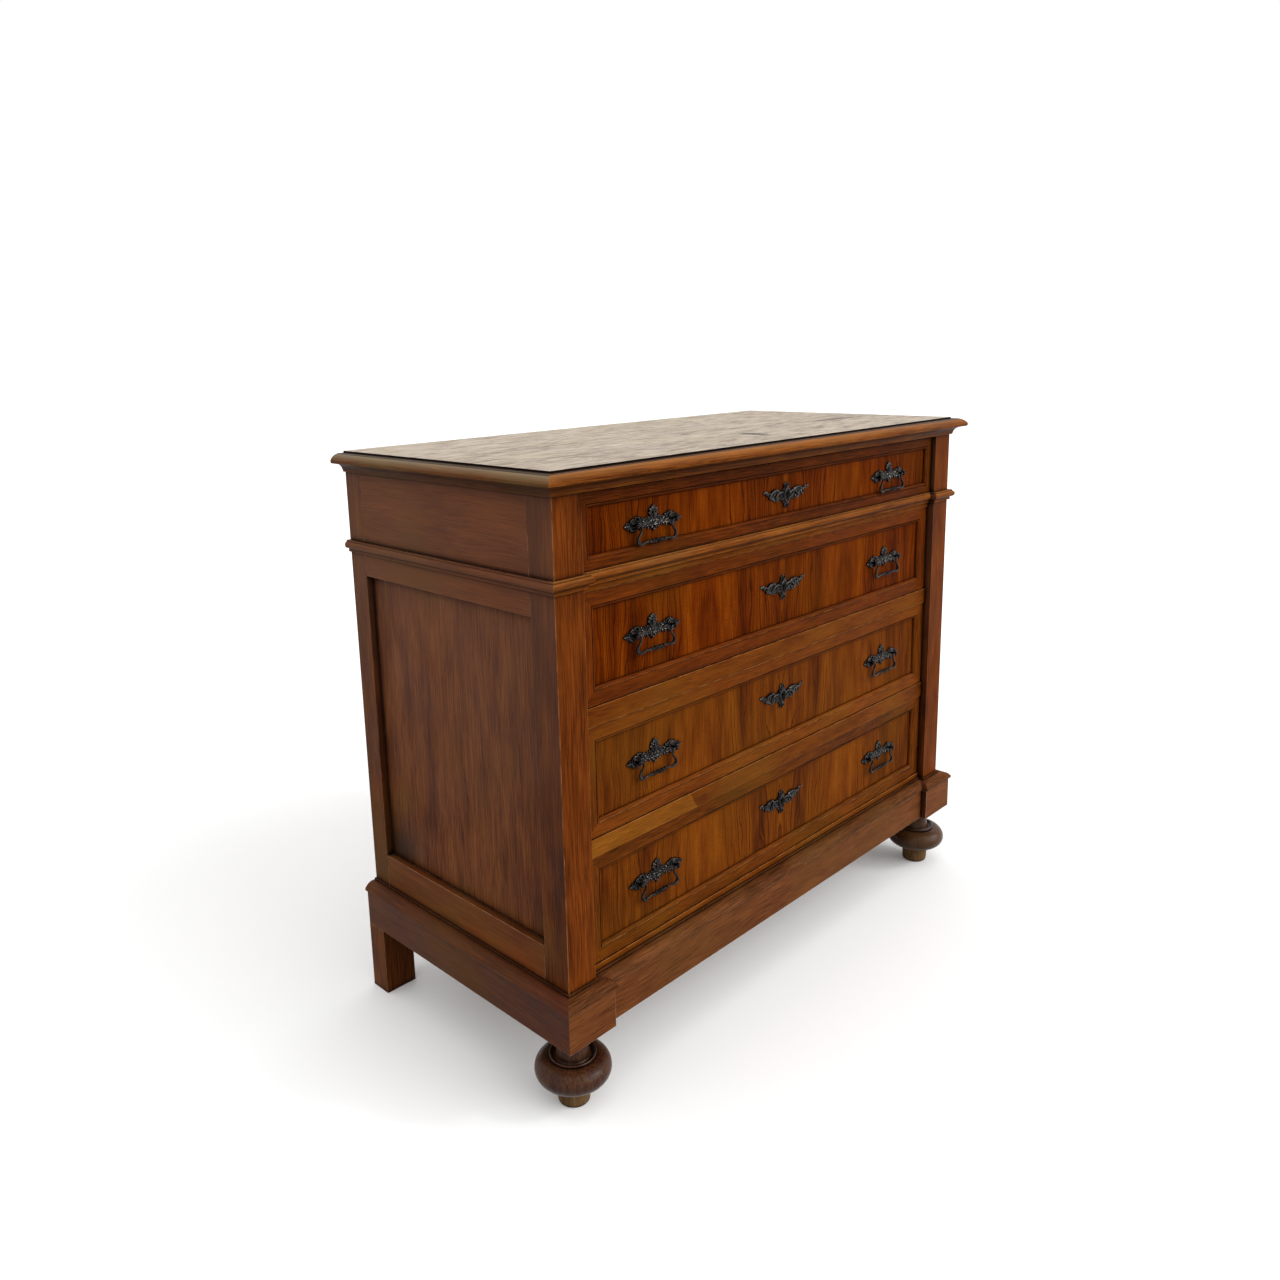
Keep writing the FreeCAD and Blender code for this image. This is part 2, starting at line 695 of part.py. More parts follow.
def rod(line, sides):
    """A many-sided rod along a bent line in the XZ plane, mitred at each bend. line holds (x, z, radius)."""
    points = [V(x, 0, z) for x, z, radius in line]
    runs = [(b - a).normalize() for a, b in zip(points, points[1:])]
    turns = [runs[0]] + [(a + b).normalize() for a, b in zip(runs, runs[1:])] + [runs[-1]]
    rings = []
    for index, (x, z, radius) in enumerate(line):
        turn, run = turns[index], runs[min(index, len(runs) - 1)]
        upward = turn.cross(V(0, 1, 0)) * (radius / turn.dot(run))
        rings.append(ring_about(points[index], V(0, radius, 0), upward, sides))
    return ringed_solid(rings)


def bail(x, z, y_field):
    """A swan-neck bail: pintles in the posts, arms that spread downwards and a barrel-shaped grip."""
    top = post_distance / 2 - pull_post_head - bail_head_gap
    right = [(top, 0, bail_wire), (top - 0.75 * bail_wire, 0, bail_wire),
             (top - 1.5 * bail_wire, -bail_wire, bail_wire), (bail_foot, -0.76 * bail_drop, bail_wire),
             (0.85 * bail_foot, -bail_drop, bail_wire), (grip_half, -bail_drop, bail_wire),
             (0.24 * grip_half, -bail_drop, grip_radius)]
    left = [(-a, b, radius) for a, b, radius in reversed(right)]
    reach = top + pintle_in_head + bail_head_gap
    pintle = Part.makeCylinder(pintle_radius, reach - top, V(top, 0, 0), V(1, 0, 0))
    pintle = pintle.common(box(top, reach, -pintle_radius, pintle_radius, -pintle_flat, pintle_flat))
    whole = united([rod(right + left, 6)] + pair(pintle))
    whole.translate(V(x, y_field - bail_axis_out, z))
    return whole


# ---- escutcheons ---------------------------------------------------------------------------------
def escutcheon(d):
    """A foliage plate with scrolled arms, a spike above and below, and an oval shield round the keyhole."""
    right = [(0.04, 0.71), (0.13, 0.54), (0.19, 0.33), (0.29, 0.38), (0.4, 0.54), (0.53, 0.5), (0.65, 0.25),
             (0.76, 0.38), (0.88, 0.5), (1, 0.42), (0.88, 0.25), (0.76, 0.13), (0.65, -0.13), (0.53, -0.33),
             (0.41, -0.42), (0.29, -0.29), (0.19, -0.33), (0.13, -0.54), (0.04, -0.71)]
    left = [(-a, b) for a, b in reversed(right)]
    outline = spread([(0, 1)] + right + [(0, -1)] + left, escutcheon_half_width, escutcheon_half_height)
    plate = plate_solid(outline, -escutcheon_thickness, 0)
    across, upward = V(shield_half_width, 0, 0), V(0, 0, shield_half_height)
    rings = [ring_about(V(0, -out, 0), across * size, upward * size, 10)
             for size, out in ((1, 0), (1, escutcheon_thickness), (0.8, shield_thickness))]
    whole = united([plate, ringed_solid(rings)])
    whole.translate(V(0, d.y_field, d.z_key))
    return without(whole, [keyhole(d, d.y_field - 2 * shield_thickness, d.y_field + 1)])


# ---- files ---------------------------------------------------------------------------------------
def save(node, solids):
    """One STEP file per node."""
    shape = solids[0] if len(solids) == 1 else Part.makeCompound(solids)
    shape.exportStep("parts/" + node + ".step")


def save_case():
    rails = front_rails()
    board = bottom_board()
    post, rear = front_post(rails), rear_post()
    save("top_board", [top_board()])
    save("cornice_moulding", cornice_moulding())
    save("right_front_post", [post])
    save("left_front_post", [mirrored(post)])
    save("right_rear_post", [rear])
    save("left_rear_post", [mirrored(rear)])
    save("right_side_panel", [side_panel()])
    save("left_side_panel", [mirrored(side_panel())])
    save("side_rails", [piece for rail in side_rails() for piece in pair(rail)])
    save("frieze_boards", pair(frieze_board()))
    save("waist_moulding", mitred_lengths(waist_profile(), case_path(broken=True)))
    save("plinth_boards", plinth_boards())
    save("plinth_moulding", mitred_lengths(plinth_profile(), case_path(broken=True)))
    save("front_rails", rails[:-1] + [without(rails[-1], [board])])
    save("drawer_runners", drawer_runners())
    save("drawer_guides", drawer_guides())
    save("bottom_board", [board])
    back = back_rails()
    save("back_rails", [back[0], without(back[1], [board])])
    save("back_boards", back_boards())
    save("front_feet", pair(front_foot()))


def save_drawer(index):
    d = DrawerSizes(index)
    name = "drawer_%d_" % (index + 1)
    save(name + "front", [drawer_front(d)])
    save(name + "frame", drawer_frame(d))
    save(name + "box", drawer_box(d))
    save(name + "bottom", [drawer_bottom(d)])
    save(name + "lock", [lock(d)])
    save(name + "bolt", [lock_bolt(d)])
    save(name + "escutcheon", [escutcheon(d)])
    save(name + "pull_plates", [pull_plate(side * pull_place, d.z_pull, d.y_field) for side in (-1, 1)])
    save(name + "bail_left", [bail(-pull_place, d.z_pull, d.y_field)])
    save(name + "bail_right", [bail(pull_place, d.z_pull, d.y_field)])


def main():
    os.makedirs("parts", exist_ok=True)
    save_case()
    for index in range(len(opening_heights)):
        save_drawer(index)


main()
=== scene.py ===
"""A walnut chest of four long drawers: its finishes, its turned feet and its cast bronze mounts."""
import json
import math
import random

import bmesh
import bpy
from mathutils import Matrix, Vector


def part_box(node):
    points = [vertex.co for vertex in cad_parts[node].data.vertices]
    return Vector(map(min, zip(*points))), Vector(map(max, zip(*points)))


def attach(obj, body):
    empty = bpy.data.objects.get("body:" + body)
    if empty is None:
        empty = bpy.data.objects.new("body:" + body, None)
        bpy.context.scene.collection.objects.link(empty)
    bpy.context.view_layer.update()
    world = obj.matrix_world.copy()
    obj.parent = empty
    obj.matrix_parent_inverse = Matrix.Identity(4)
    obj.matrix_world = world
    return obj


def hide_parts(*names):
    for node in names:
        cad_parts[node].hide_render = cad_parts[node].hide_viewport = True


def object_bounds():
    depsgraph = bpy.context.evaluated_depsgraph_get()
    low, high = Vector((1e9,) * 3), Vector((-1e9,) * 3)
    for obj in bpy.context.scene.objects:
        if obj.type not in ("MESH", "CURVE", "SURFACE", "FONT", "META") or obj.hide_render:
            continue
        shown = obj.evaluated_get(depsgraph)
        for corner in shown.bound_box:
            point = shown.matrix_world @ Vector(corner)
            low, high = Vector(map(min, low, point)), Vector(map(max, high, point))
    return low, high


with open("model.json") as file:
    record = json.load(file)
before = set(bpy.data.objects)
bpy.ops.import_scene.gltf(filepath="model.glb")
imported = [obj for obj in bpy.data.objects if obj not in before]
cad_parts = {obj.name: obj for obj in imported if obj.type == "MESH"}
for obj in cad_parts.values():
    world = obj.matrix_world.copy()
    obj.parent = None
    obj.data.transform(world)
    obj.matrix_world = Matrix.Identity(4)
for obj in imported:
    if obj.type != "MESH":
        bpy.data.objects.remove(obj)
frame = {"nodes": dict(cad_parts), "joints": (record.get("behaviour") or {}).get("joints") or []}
cad_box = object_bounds()

MM = 0.001
DRAWERS = (1, 2, 3, 4)
UPPER_DRAWERS = (1, 2)
SIDES = ("left", "right")

# ---- sizes in millimetres ----
ARRIS = 0.9  # how far time has rounded the arrises
FINE_ARRIS = 0.8  # the same on the thin strips of the drawer frames
QUIRK_WIDTH = 1.5  # the groove between the flat and the ovolo of a drawer frame
QUIRK_DEPTH = 1.1
TOP_EDGE_SHADE = 4.4  # how far below the top the cornice is painted dark, as the shade under the black edge of the top
MERGED = 0.001  # vertices nearer than this are one
PEG_HEIGHT = 46.0  # the turned peg under a foot's bun
FOOT_STEPS = 96  # faces round a foot
HOLLOW = 3.5  # how far a hollow of the castings keeps its black patina

# ---- angles and ratios ----
FLAT_ANGLE = math.radians(1)  # faces that meet at less are one face
ARRIS_ANGLE = math.radians(35)  # faces that meet at more have an arris between them
CREASE_ANGLE = math.radians(20)  # smooth shading stops at more
FOOT_CREASE = math.radians(50)  # the same on the feet
ALIKE = 3.5  # smooth faces next to each other differ less than this in area
FACING = 0.7  # how squarely a face looks to the side or the front that gives it its finish


# ---- colour and nodes ----
def linear(hex_colour):
    """An sRGB hex value as the linear colour that the shaders take."""
    parts = [int(hex_colour[i:i + 2], 16) / 255 for i in (1, 3, 5)]
    return [c / 12.92 if c <= 0.04045 else ((c + 0.055) / 1.055) ** 2.4 for c in parts] + [1.0]


def add(tree, kind, inputs=None, **settings):
    """A node with its settings, its values and its links."""
    node = tree.nodes.new("ShaderNode" + kind)
    for key, value in settings.items():
        setattr(node, key, value)
    for key, value in (inputs or {}).items():
        if isinstance(value, bpy.types.NodeSocket):
            tree.links.new(value, node.inputs[key])
        else:
            node.inputs[key].default_value = value
    return node


def empty_material(name):
    """A material with an empty node tree, and that tree."""
    material = bpy.data.materials.new(name)
    material.use_nodes = True
    material.node_tree.nodes.clear()
    return material, material.node_tree


def ramp(tree, factor, stops):
    """A colour ramp over (place, hex colour) stops."""
    node = add(tree, "ValToRGB", {0: factor})
    elements = node.color_ramp.elements
    while len(elements) < len(stops):
        elements.new(0.5)
    for element, (place, colour) in zip(elements, stops):
        element.position = place
        element.color = linear(colour)
    return node.outputs[0]


def blended(tree, factor, first, second):
    """A mix of two colours; the factor and the colours are sockets or values."""
    return add(tree, "Mix", {0: factor, 6: first, 7: second}, data_type="RGBA").outputs[2]


def calc(tree, operation, *values):
    """A Math node's result."""
    return add(tree, "Math", dict(enumerate(values)), operation=operation).outputs[0]


def centred(tree, value):
    """A value that varies round a half, as one that varies round nought."""
    return calc(tree, "SUBTRACT", value, 0.5)


def between(tree, value, low, high, at_low=0.0, at_high=1.0):
    """A value's place between two limits, as a number from at_low to at_high."""
    return add(tree, "MapRange", {0: value, 1: low, 2: high, 3: at_low, 4: at_high}).outputs[0]


def axes(tree, vector):
    """The three parts of a vector."""
    return add(tree, "SeparateXYZ", {0: vector}).outputs


def distance(tree, x, y):
    """How far a point is from nought."""
    point = add(tree, "CombineXYZ", {0: x, 1: y}).outputs[0]
    return add(tree, "VectorMath", {0: point}, operation="LENGTH").outputs["Value"]


def clouds_of(tree, place, scale, detail):
    """Plain noise with so many clouds to a metre."""
    return add(tree, "TexNoise", {"Vector": place, "Scale": scale, "Detail": detail}).outputs[0]


def finished(tree, colour, rough, bump, **ways):
    """Ends a material in one shader with its colour, roughness and bump."""
    inputs = {"Base Color": colour, "Roughness": rough, "Normal": bump}
    shader = add(tree, "BsdfPrincipled", {**inputs, **{way.replace("_", " "): ways[way] for way in ways}})
    add(tree, "OutputMaterial", {0: shader.outputs[0]})


# ---- wood ----
# Each wooden piece carries a "grain" attribute: metres along its grain, across its width and through it,
# with a start of its own. "tone" from 0 to 1 makes one board lighter than the next, "rise" is the height over
# the lowest point of the piece, and "arris" is 1 on the rounded arrises and -1 in the grooves and on the top
# band of the cornice, which are painted dark as shade.
class Wood:
    """What sets one wood finish off from another. Lengths are in millimetres, shares from 0 to 1."""
    made = []  # every finish below
    band, band_share, cloud_share = 38, 0.2, 0.4  # broad light and dark bands, and shorter clouds
    streak, streak_length = 1.8, 40  # fine streaks along the grain
    pore, hairline, contrast = 0.9, 0.3, 0.8
    roughness, gloss, bump = 0.45, 0.02, 0.35
    grime, grime_reach, grime_share = "#120703", 10, 0.75  # painted shade: a haze that darkens towards every corner
    line_reach, line_share = 4.5, 1.0  # and a dark line of painted shade in it
    worn, worn_share = "#a4683a", 0.95  # bare wood on the arrises, also standing as a painted highlight along them
    tint, tint_share = "#6a2410", 0.15  # one board redder than the next
    mottle, mottle_share = "#6b4a22", 0.3  # clouds of a browner varnish
    flame = marks = patched = smudged = False
    painted_reflection = dusted = stained = 0.0  # painted reflection high up; dust and a painted highlight on upper faces; painted shade on under faces (stained)
    dust = "#9a917c"

    def __init__(self, name, tones, **ways):
        self.name, self.tones = name, tones  # light, middle and dark wood, and its veins
        for way, value in ways.items():
            setattr(self, way, value)
        Wood.made.append(self)


def stretched_noise(tree, vector, along, across, detail, roughness=0.5):
    """Noise whose grains are so many millimetres long and wide."""
    scale = (1 / (along * MM), 1 / (across * MM), 1 / (across * MM))
    place = add(tree, "Mapping", {"Vector": vector, "Scale": scale}).outputs[0]
    return add(tree, "TexNoise", {"Vector": place, "Scale": 1.0, "Detail": detail,
                                  "Roughness": roughness}).outputs[0]


def uneven_lines(tree, metres, spacing, detail, roughness=0.6):
    """Light and dark lines, about so many millimetres apart, along a way in metres."""
    place = calc(tree, "DIVIDE", metres, spacing * MM)
    return add(tree, "TexNoise", {"W": place, "Scale": 1.0, "Detail": detail, "Roughness": roughness},
               noise_dimensions="1D").outputs[0]


def weighed(tree, *pairs):
    """The sum of values that vary round a half, each times its weight, about a half again."""
    total = 0.5
    for value, weight in pairs:
        total = calc(tree, "MULTIPLY_ADD", centred(tree, value), weight, total)
    return total


def wandering(tree, grain, reach):
    """The grain coordinates, pushed sideways so that the lines of the wood waver."""
    slow = stretched_noise(tree, grain, 260, 70, 2)
    push = calc(tree, "MULTIPLY", centred(tree, slow), reach * MM)
    sideways = add(tree, "CombineXYZ", {1: push, 2: push}).outputs[0]
    return add(tree, "VectorMath", {0: grain, 1: sideways}, operation="ADD").outputs[0]


def board_figure(tree, wood, grain):
    """The straight figure of a sawn board: bands, streaks and long hairlines."""
    bent = wandering(tree, grain, 14)
    bands = stretched_noise(tree, bent, 700, wood.band, 2)
    clouds = stretched_noise(tree, bent, 120, 30, 2)
    streaks = stretched_noise(tree, bent, wood.streak_length, wood.streak, 4, 0.65)
    figure = weighed(tree, (bands, wood.band_share), (clouds, wood.cloud_share), (streaks, 0.85))
    return figure, streaks, stretched_noise(tree, bent, 210, 1.6, 2)


# The flame of the veneer, in metres.
FLAME_PLACE, FLAME_ROAM = 0.2, 0.05  # from the joint of the leaves to its heart, and how much it varies
FLAME_LEAN = 0.16  # how fast its arches follow each other up the leaf
FLAME_PUSH, FLAME_RIPPLE = 0.060, 0.0045  # how far broad and fine noise push the arches about
FLAME_SIDES = (0.03, 0.13)  # from the heart: where lines begin, and where they are at their plainest
LEAF_JOINT = (0.003, 0.006)  # half the light line at the joint, and with its soft edge


def flame_figure(tree, tone):
    """Two leaves of veneer from one log, mirrored at the middle of the drawer: a flame of nested arches with
    straight lines on both sides of it."""
    rise = add(tree, "Attribute", attribute_name="rise").outputs["Fac"]
    across = calc(tree, "ABSOLUTE", axes(tree, add(tree, "TexCoord").outputs["Object"])[0])
    leaf = add(tree, "CombineXYZ", {0: rise, 1: across, 2: calc(tree, "MULTIPLY", tone, 5.0)}).outputs[0]
    slow = centred(tree, stretched_noise(tree, leaf, 210, 75, 2))
    quick = centred(tree, stretched_noise(tree, leaf, 45, 9, 2))
    aside = calc(tree, "SUBTRACT", across, calc(tree, "MULTIPLY_ADD", tone, FLAME_ROAM, FLAME_PLACE))
    depth = calc(tree, "MULTIPLY_ADD", rise, FLAME_LEAN, calc(tree, "MULTIPLY_ADD", tone, 0.03, 0.008))
    radius = distance(tree, aside, depth)
    for value, reach in ((slow, FLAME_PUSH), (quick, FLAME_RIPPLE), (tone, 3.0)):
        radius = calc(tree, "MULTIPLY_ADD", value, reach, radius)
    away = calc(tree, "ABSOLUTE", aside)
    strength = between(tree, away, *FLAME_SIDES, 0.2, 1.0)
    swell = calc(tree, "MULTIPLY", centred(tree, uneven_lines(tree, radius, 11.0, 2)), strength)
    figure = weighed(tree, (uneven_lines(tree, radius, 42.0, 2), 0.4),
                     (stretched_noise(tree, leaf, 100, 22, 2), 0.45),
                     (stretched_noise(tree, leaf, 80, 1.6, 4, 0.7), 0.75))
    figure = calc(tree, "MULTIPLY_ADD", swell, 0.2, figure)
    figure = calc(tree, "ADD", figure, between(tree, away, 0.03, 0.15, 0.05, -0.02))
    joint = between(tree, across, *LEAF_JOINT, 0.10, 0.0)
    fine = centred(tree, uneven_lines(tree, radius, 3.6, 3, 0.7))
    hairs = calc(tree, "MULTIPLY_ADD", fine, calc(tree, "MULTIPLY", strength, 1.6), 0.515)
    return calc(tree, "ADD", figure, joint), fine, hairs


# What age has done to the chest, in metres.
LET_IN = (-0.26, 0.42, 0.6)  # end of the let-in piece, its middle height and how its end leans
LET_IN_RAIL = (0.40, 0.465)  # heights that take in only the rail over the lowest drawer
LET_IN_TONES = [(0.0, "#6a3a0c"), (0.5, "#8a5216"), (1.0, "#a86c26")]
SEAM = 0.0005  # how soft its outline is
CRACK = ((0.322, -0.059), (0.528, -0.078))  # both ends of a drying crack in the top
CRACK_OPEN, CRACK_SHADE = (0.0012, 0.0022), 0.016  # half its width, sharp and soft, and half the band of painted shade along it, for the shade of its lifted edge
CRACK_WAVER, CRACK_FADES = 0.008, (0.05, 0.07)  # how far it strays, and how far its ends fade
BURN, BURN_REACH = (0.034, -0.141), (0.019, 0.034)  # a small burn, and its reach along and across
MARK = "#1a120c"
REFLECTION_TINT, REFLECTION_HEIGHTS = "#87604e", (0.35, 0.80)  # a painted reflection, dull and rosy, high up on the sides
PANEL_LOW, PANEL_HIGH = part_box("left_side_panel")
SMUDGE = (PANEL_LOW.x, PANEL_HIGH.y - 0.03, PANEL_LOW.z + 0.03)  # dirt in the panel's low rear corner
SMUDGE_REACH, DIRT = (0.04, 0.13), "#1e1610"
# How open a spot is where the painted shade of a corner is darkest, and where it ends: for its haze and its
# dark line.
HAZE, LINE = (0.42, 0.92), (0.5, 0.84)
UPWARD, DOWNWARD = (0.5, 0.95), (-0.6, -0.05)  # tilts of the faces that take dust and a painted highlight, and painted shade
PORES, HAIRS = (0.60, 0.72), (0.57, 0.65)  # levels of the noise that show as pores and hairlines


def let_in(tree, place):
    """Where the rail over the lowest drawer has a later, golden piece let in at its left end."""
    x, _, z = axes(tree, place)
    end, middle, lean = LET_IN
    low, high = LET_IN_RAIL
    past = calc(tree, "ADD", calc(tree, "SUBTRACT", x, end),
                calc(tree, "MULTIPLY", calc(tree, "SUBTRACT", z, middle), lean))
    inside = calc(tree, "MULTIPLY", between(tree, z, low, low + SEAM),
                  between(tree, z, high, high + SEAM, 1.0, 0.0))
    return calc(tree, "MULTIPLY", inside, between(tree, past, 0.0, 2 * SEAM, 0.85, 0.0))


def surface_marks(tree, place, grain):
    """How dark the marks of use on the top are: a drying crack with painted shade along it, a small burn and
    scattered short scratches.
    """
    x, y, _ = axes(tree, place)
    start, end = CRACK
    lean = (end[1] - start[1]) / (end[0] - start[0])
    line = calc(tree, "MULTIPLY_ADD", calc(tree, "SUBTRACT", x, start[0]), lean, start[1])
    waver = calc(tree, "MULTIPLY", centred(tree, stretched_noise(tree, grain, 30, 30, 2)), CRACK_WAVER)
    aside = calc(tree, "ABSOLUTE", calc(tree, "ADD", calc(tree, "SUBTRACT", y, line), waver))
    depth = calc(tree, "MAXIMUM", between(tree, aside, CRACK_SHADE * 0.3, CRACK_SHADE, 0.75, 0.0),
                 between(tree, aside, *CRACK_OPEN, 1.0, 0.0))
    length = calc(tree, "MULTIPLY", between(tree, x, start[0], start[0] + CRACK_FADES[0]),
                  between(tree, x, end[0] - CRACK_FADES[1], end[0], 1.0, 0.0))
    crack = calc(tree, "MULTIPLY", depth, length)
    away = distance(tree, *(calc(tree, "DIVIDE", calc(tree, "SUBTRACT", value, middle), reach)
                            for value, middle, reach in zip((x, y), BURN, BURN_REACH)))
    ragged = calc(tree, "MULTIPLY_ADD", stretched_noise(tree, grain, 9, 6, 3), 1.4, away)
    worst = calc(tree, "MAXIMUM", crack, between(tree, ragged, 1.4, 1.7, 0.95, 0.0))
    scratches = between(tree, stretched_noise(tree, grain, 42, 14, 4, 0.65), 0.58, 0.60, 0.0, 0.4)
    return calc(tree, "MAXIMUM", worst, scratches)


def wood_material(wood):
    """A planed, stained and varnished wood with its figure and pores, painted shade in its corners, grooves and
    under its faces, dust and painted highlights on its upper faces, and worn arrises that also carry a painted
    highlight.
    """
    material, tree = empty_material(wood.name)
    grain = add(tree, "Attribute", attribute_name="grain").outputs["Vector"]
    tone, arris = (add(tree, "Attribute", attribute_name=name).outputs["Fac"] for name in ("tone", "arris"))
    place = add(tree, "TexCoord").outputs["Object"]
    if wood.flame:
        figure, streaks, hairs = flame_figure(tree, tone)
    else:
        figure, streaks, hairs = board_figure(tree, wood, grain)
        figure = calc(tree, "MULTIPLY_ADD", centred(tree, tone), 0.14, figure)
    spread = between(tree, figure, 0.5 - 0.2 / wood.contrast, 0.5 + 0.2 / wood.contrast)
    light, middle, dark, vein = wood.tones.split()
    colour = ramp(tree, spread, [(0.0, vein), (0.3, dark), (0.58, middle), (1.0, light)])

    def covered(share, cover):
        """The colour so far, with another over a share of it."""
        return blended(tree, share, colour, linear(cover))

    colour = covered(calc(tree, "MULTIPLY", between(tree, hairs, *HAIRS), wood.hairline), vein)
    pores = between(tree, stretched_noise(tree, grain, 16, wood.pore, 1), *PORES)
    colour = covered(calc(tree, "MULTIPLY", pores, 0.4), vein)
    colour = covered(calc(tree, "MULTIPLY", tone, wood.tint_share), wood.tint)
    clouds = clouds_of(tree, place, 4.5, 3.0)
    colour = covered(between(tree, clouds, 0.48, 0.66, 0.0, wood.mottle_share), wood.mottle)
    if wood.patched:
        colour = blended(tree, let_in(tree, place), colour, ramp(tree, spread, LET_IN_TONES))
    # a painted reflection high up on the sides
    if wood.painted_reflection:
        colour = covered(between(tree, axes(tree, place)[2], *REFLECTION_HEIGHTS, 0.0, wood.painted_reflection), REFLECTION_TINT)
    if wood.smudged:
        away = add(tree, "VectorMath", {0: place, 1: SMUDGE}, operation="DISTANCE").outputs["Value"]
        away = calc(tree, "MULTIPLY_ADD", clouds, 0.05, away)
        colour = covered(between(tree, away, *SMUDGE_REACH, 0.8, 0.0), DIRT)
    if wood.marks:
        colour = covered(surface_marks(tree, place, grain), MARK)
    # dust and a painted highlight on faces that look up, and painted shade on faces that look down
    if wood.dusted or wood.stained:
        tilt = axes(tree, add(tree, "TexCoord").outputs["Normal"])[2]
        colour = covered(between(tree, tilt, *UPWARD, 0.0, wood.dusted), wood.dust)
        colour = covered(between(tree, tilt, *DOWNWARD, wood.stained, 0.0), wood.grime)
    # painted shade: corners and gaps darkened by how open they are, as a haze and a dark line
    for reach, share, ends in ((wood.grime_reach, wood.grime_share, HAZE),
                               (wood.line_reach, wood.line_share, LINE)):
        corner = add(tree, "AmbientOcclusion", {"Distance": reach * MM}, samples=6).outputs["AO"]
        colour = covered(between(tree, corner, *ends, share, 0.0), wood.grime)
    # painted shade in the grooves and on the top band of the cornice
    colour = covered(between(tree, arris, -1.0, 0.0, 0.8, 0.0), wood.grime)
    # bare wood on the arrises, which is also a painted highlight along them
    patches = between(tree, clouds_of(tree, place, 38.0, 3.0), 0.38, 0.6, 0.2, wood.worn_share)
    colour = covered(calc(tree, "MULTIPLY", arris, patches), wood.worn)
    smears = clouds_of(tree, place, 9.0, 4.0)
    rough = between(tree, smears, 0.3, 0.7, wood.roughness - 0.07, wood.roughness + 0.09)
    height = calc(tree, "MULTIPLY_ADD", pores, -0.6, streaks)
    bump = add(tree, "Bump", {"Height": height, "Strength": wood.bump, "Distance": 0.25 * MM}).outputs[0]
    finished(tree, colour, rough, bump, Specular_IOR_Level=wood.gloss)
    return material


# Solid walnut of the front, stained and finished with shellac: warm red-brown with darker lines.
FRONT_WALNUT = Wood("shellacked_walnut", "#8c4c11 #713b0a #5b2c06 #3f1e09", contrast=0.75,
                    streak_length=34, mottle="#80501a", mottle_share=0.45, grime_reach=8, patched=True)
# The same wood in the mouldings, lighter, with dust and a painted highlight on their upward rounds and painted
# shade under them.
MOULDING_WALNUT = Wood("rubbed_walnut_mouldings", "#a65f20 #834814 #64320c #3a1a05", streak_length=60,
                       roughness=0.35, grime_reach=5, line_reach=3.5, line_share=0.85, worn="#c48d4c",
                       mottle="#86562a", mottle_share=0.35, tint_share=0.1, dusted=0.5, dust="#9f6c3a",
                       stained=0.35)
# The same wood in the frames of the upper drawers, stained redder and darker.
FRAME_WALNUT = Wood("stained_walnut_frames", "#803e0a #622c06 #481f04 #2b1001", hairline=0.45,
                    mottle="#502f0a", mottle_share=0.25, grime_reach=6, worn="#b87c42")
# The frames of the lower drawers, where the stain has faded.
FADED_FRAME = Wood("faded_walnut_frames", "#8c4c14 #723a0b #572a07 #391a06", hairline=0.45,
                   mottle="#6e4a12", grime_reach=6, worn="#c08a50")
# The same wood on the corner posts: quiet straight grain, a little redder.
POST_WALNUT = Wood("shellacked_walnut_posts", "#934a16 #7a3c10 #602c0a #3d1a06", streak=2.2,
                   streak_length=80, tint="#8c4010", mottle="#8c4a1c")
# Boards and blocks of the plinth: a browner, flatter walnut.
PLINTH_WALNUT = Wood("varnished_walnut_plinth", "#84502a #6b4022 #522f16 #331b0b", contrast=0.85,
                     hairline=0.45, worn="#c09a7c", mottle="#6e4c26", grime_reach=6)
# Veneer of the two upper drawers: mirrored leaves of walnut, redder and more lively than the frames.
RED_VENEER = Wood("book_matched_walnut_veneer", "#8e4406 #702e02 #561e00 #2a0c00", contrast=0.75,
                  gloss=0.01, flame=True, hairline=0.85, tint_share=0.0, mottle="#663806")
# The same veneer on the two lower drawers, which the light has faded to brown.
BROWN_VENEER = Wood("faded_walnut_veneer", "#8e4d10 #743a0b #5c2a08 #341605", contrast=0.7,
                    gloss=0.01, flame=True, hairline=0.75, tint_share=0.0, mottle="#6c4210")
# Walnut of the sides: the same wood under a duller, browner varnish.
SIDE_WALNUT = Wood("varnished_walnut_sides", "#86491b #6c3a13 #56290c #341606", contrast=0.95, band=60,
                   band_share=0.35, streak=2.0, streak_length=90, roughness=0.5, gloss=0.05, hairline=0.5,
                   grime="#0e0503", grime_reach=18, grime_share=0.8, line_reach=8, worn="#93694f", painted_reflection=0.28,
                   tint="#6e3020", tint_share=0.3, mottle="#6c4f28", mottle_share=0.45)
# The panels of the sides: the same, a little lighter, and with dirt in a corner of the left one.
PANEL_WALNUT = Wood(**{**vars(SIDE_WALNUT), "name": "varnished_walnut_panels",
                       "tones": "#975a2c #7c4825 #64351b #3e1d0e", "smudged": True})
# The cornice along the sides: an olive brown, with dust and a painted highlight on its upper face and painted
# shade under it.
SIDE_MOULDING = Wood("varnished_walnut_side_cornice", "#80532e #6a4023 #552f19 #33180c", contrast=0.85,
                     band_share=0.25, streak=2.0, streak_length=70, gloss=0.03, line_reach=5, worn="#a08c6c",
                     tint="#70401c", tint_share=0.3, mottle="#65603c", dusted=0.5, dust="#978c70",
                     stained=0.5, grime="#22100e")
# Sides of the plinth, darker than the rest.
LOW_SIDE_WALNUT = Wood("varnished_walnut_low_sides", "#6b3a20 #562c17 #44210f #2d140a", streak=2.0,
                       streak_length=70, roughness=0.5, gloss=0.08, grime_reach=16, worn="#a07a60",
                       tint="#53241c", tint_share=0.2)
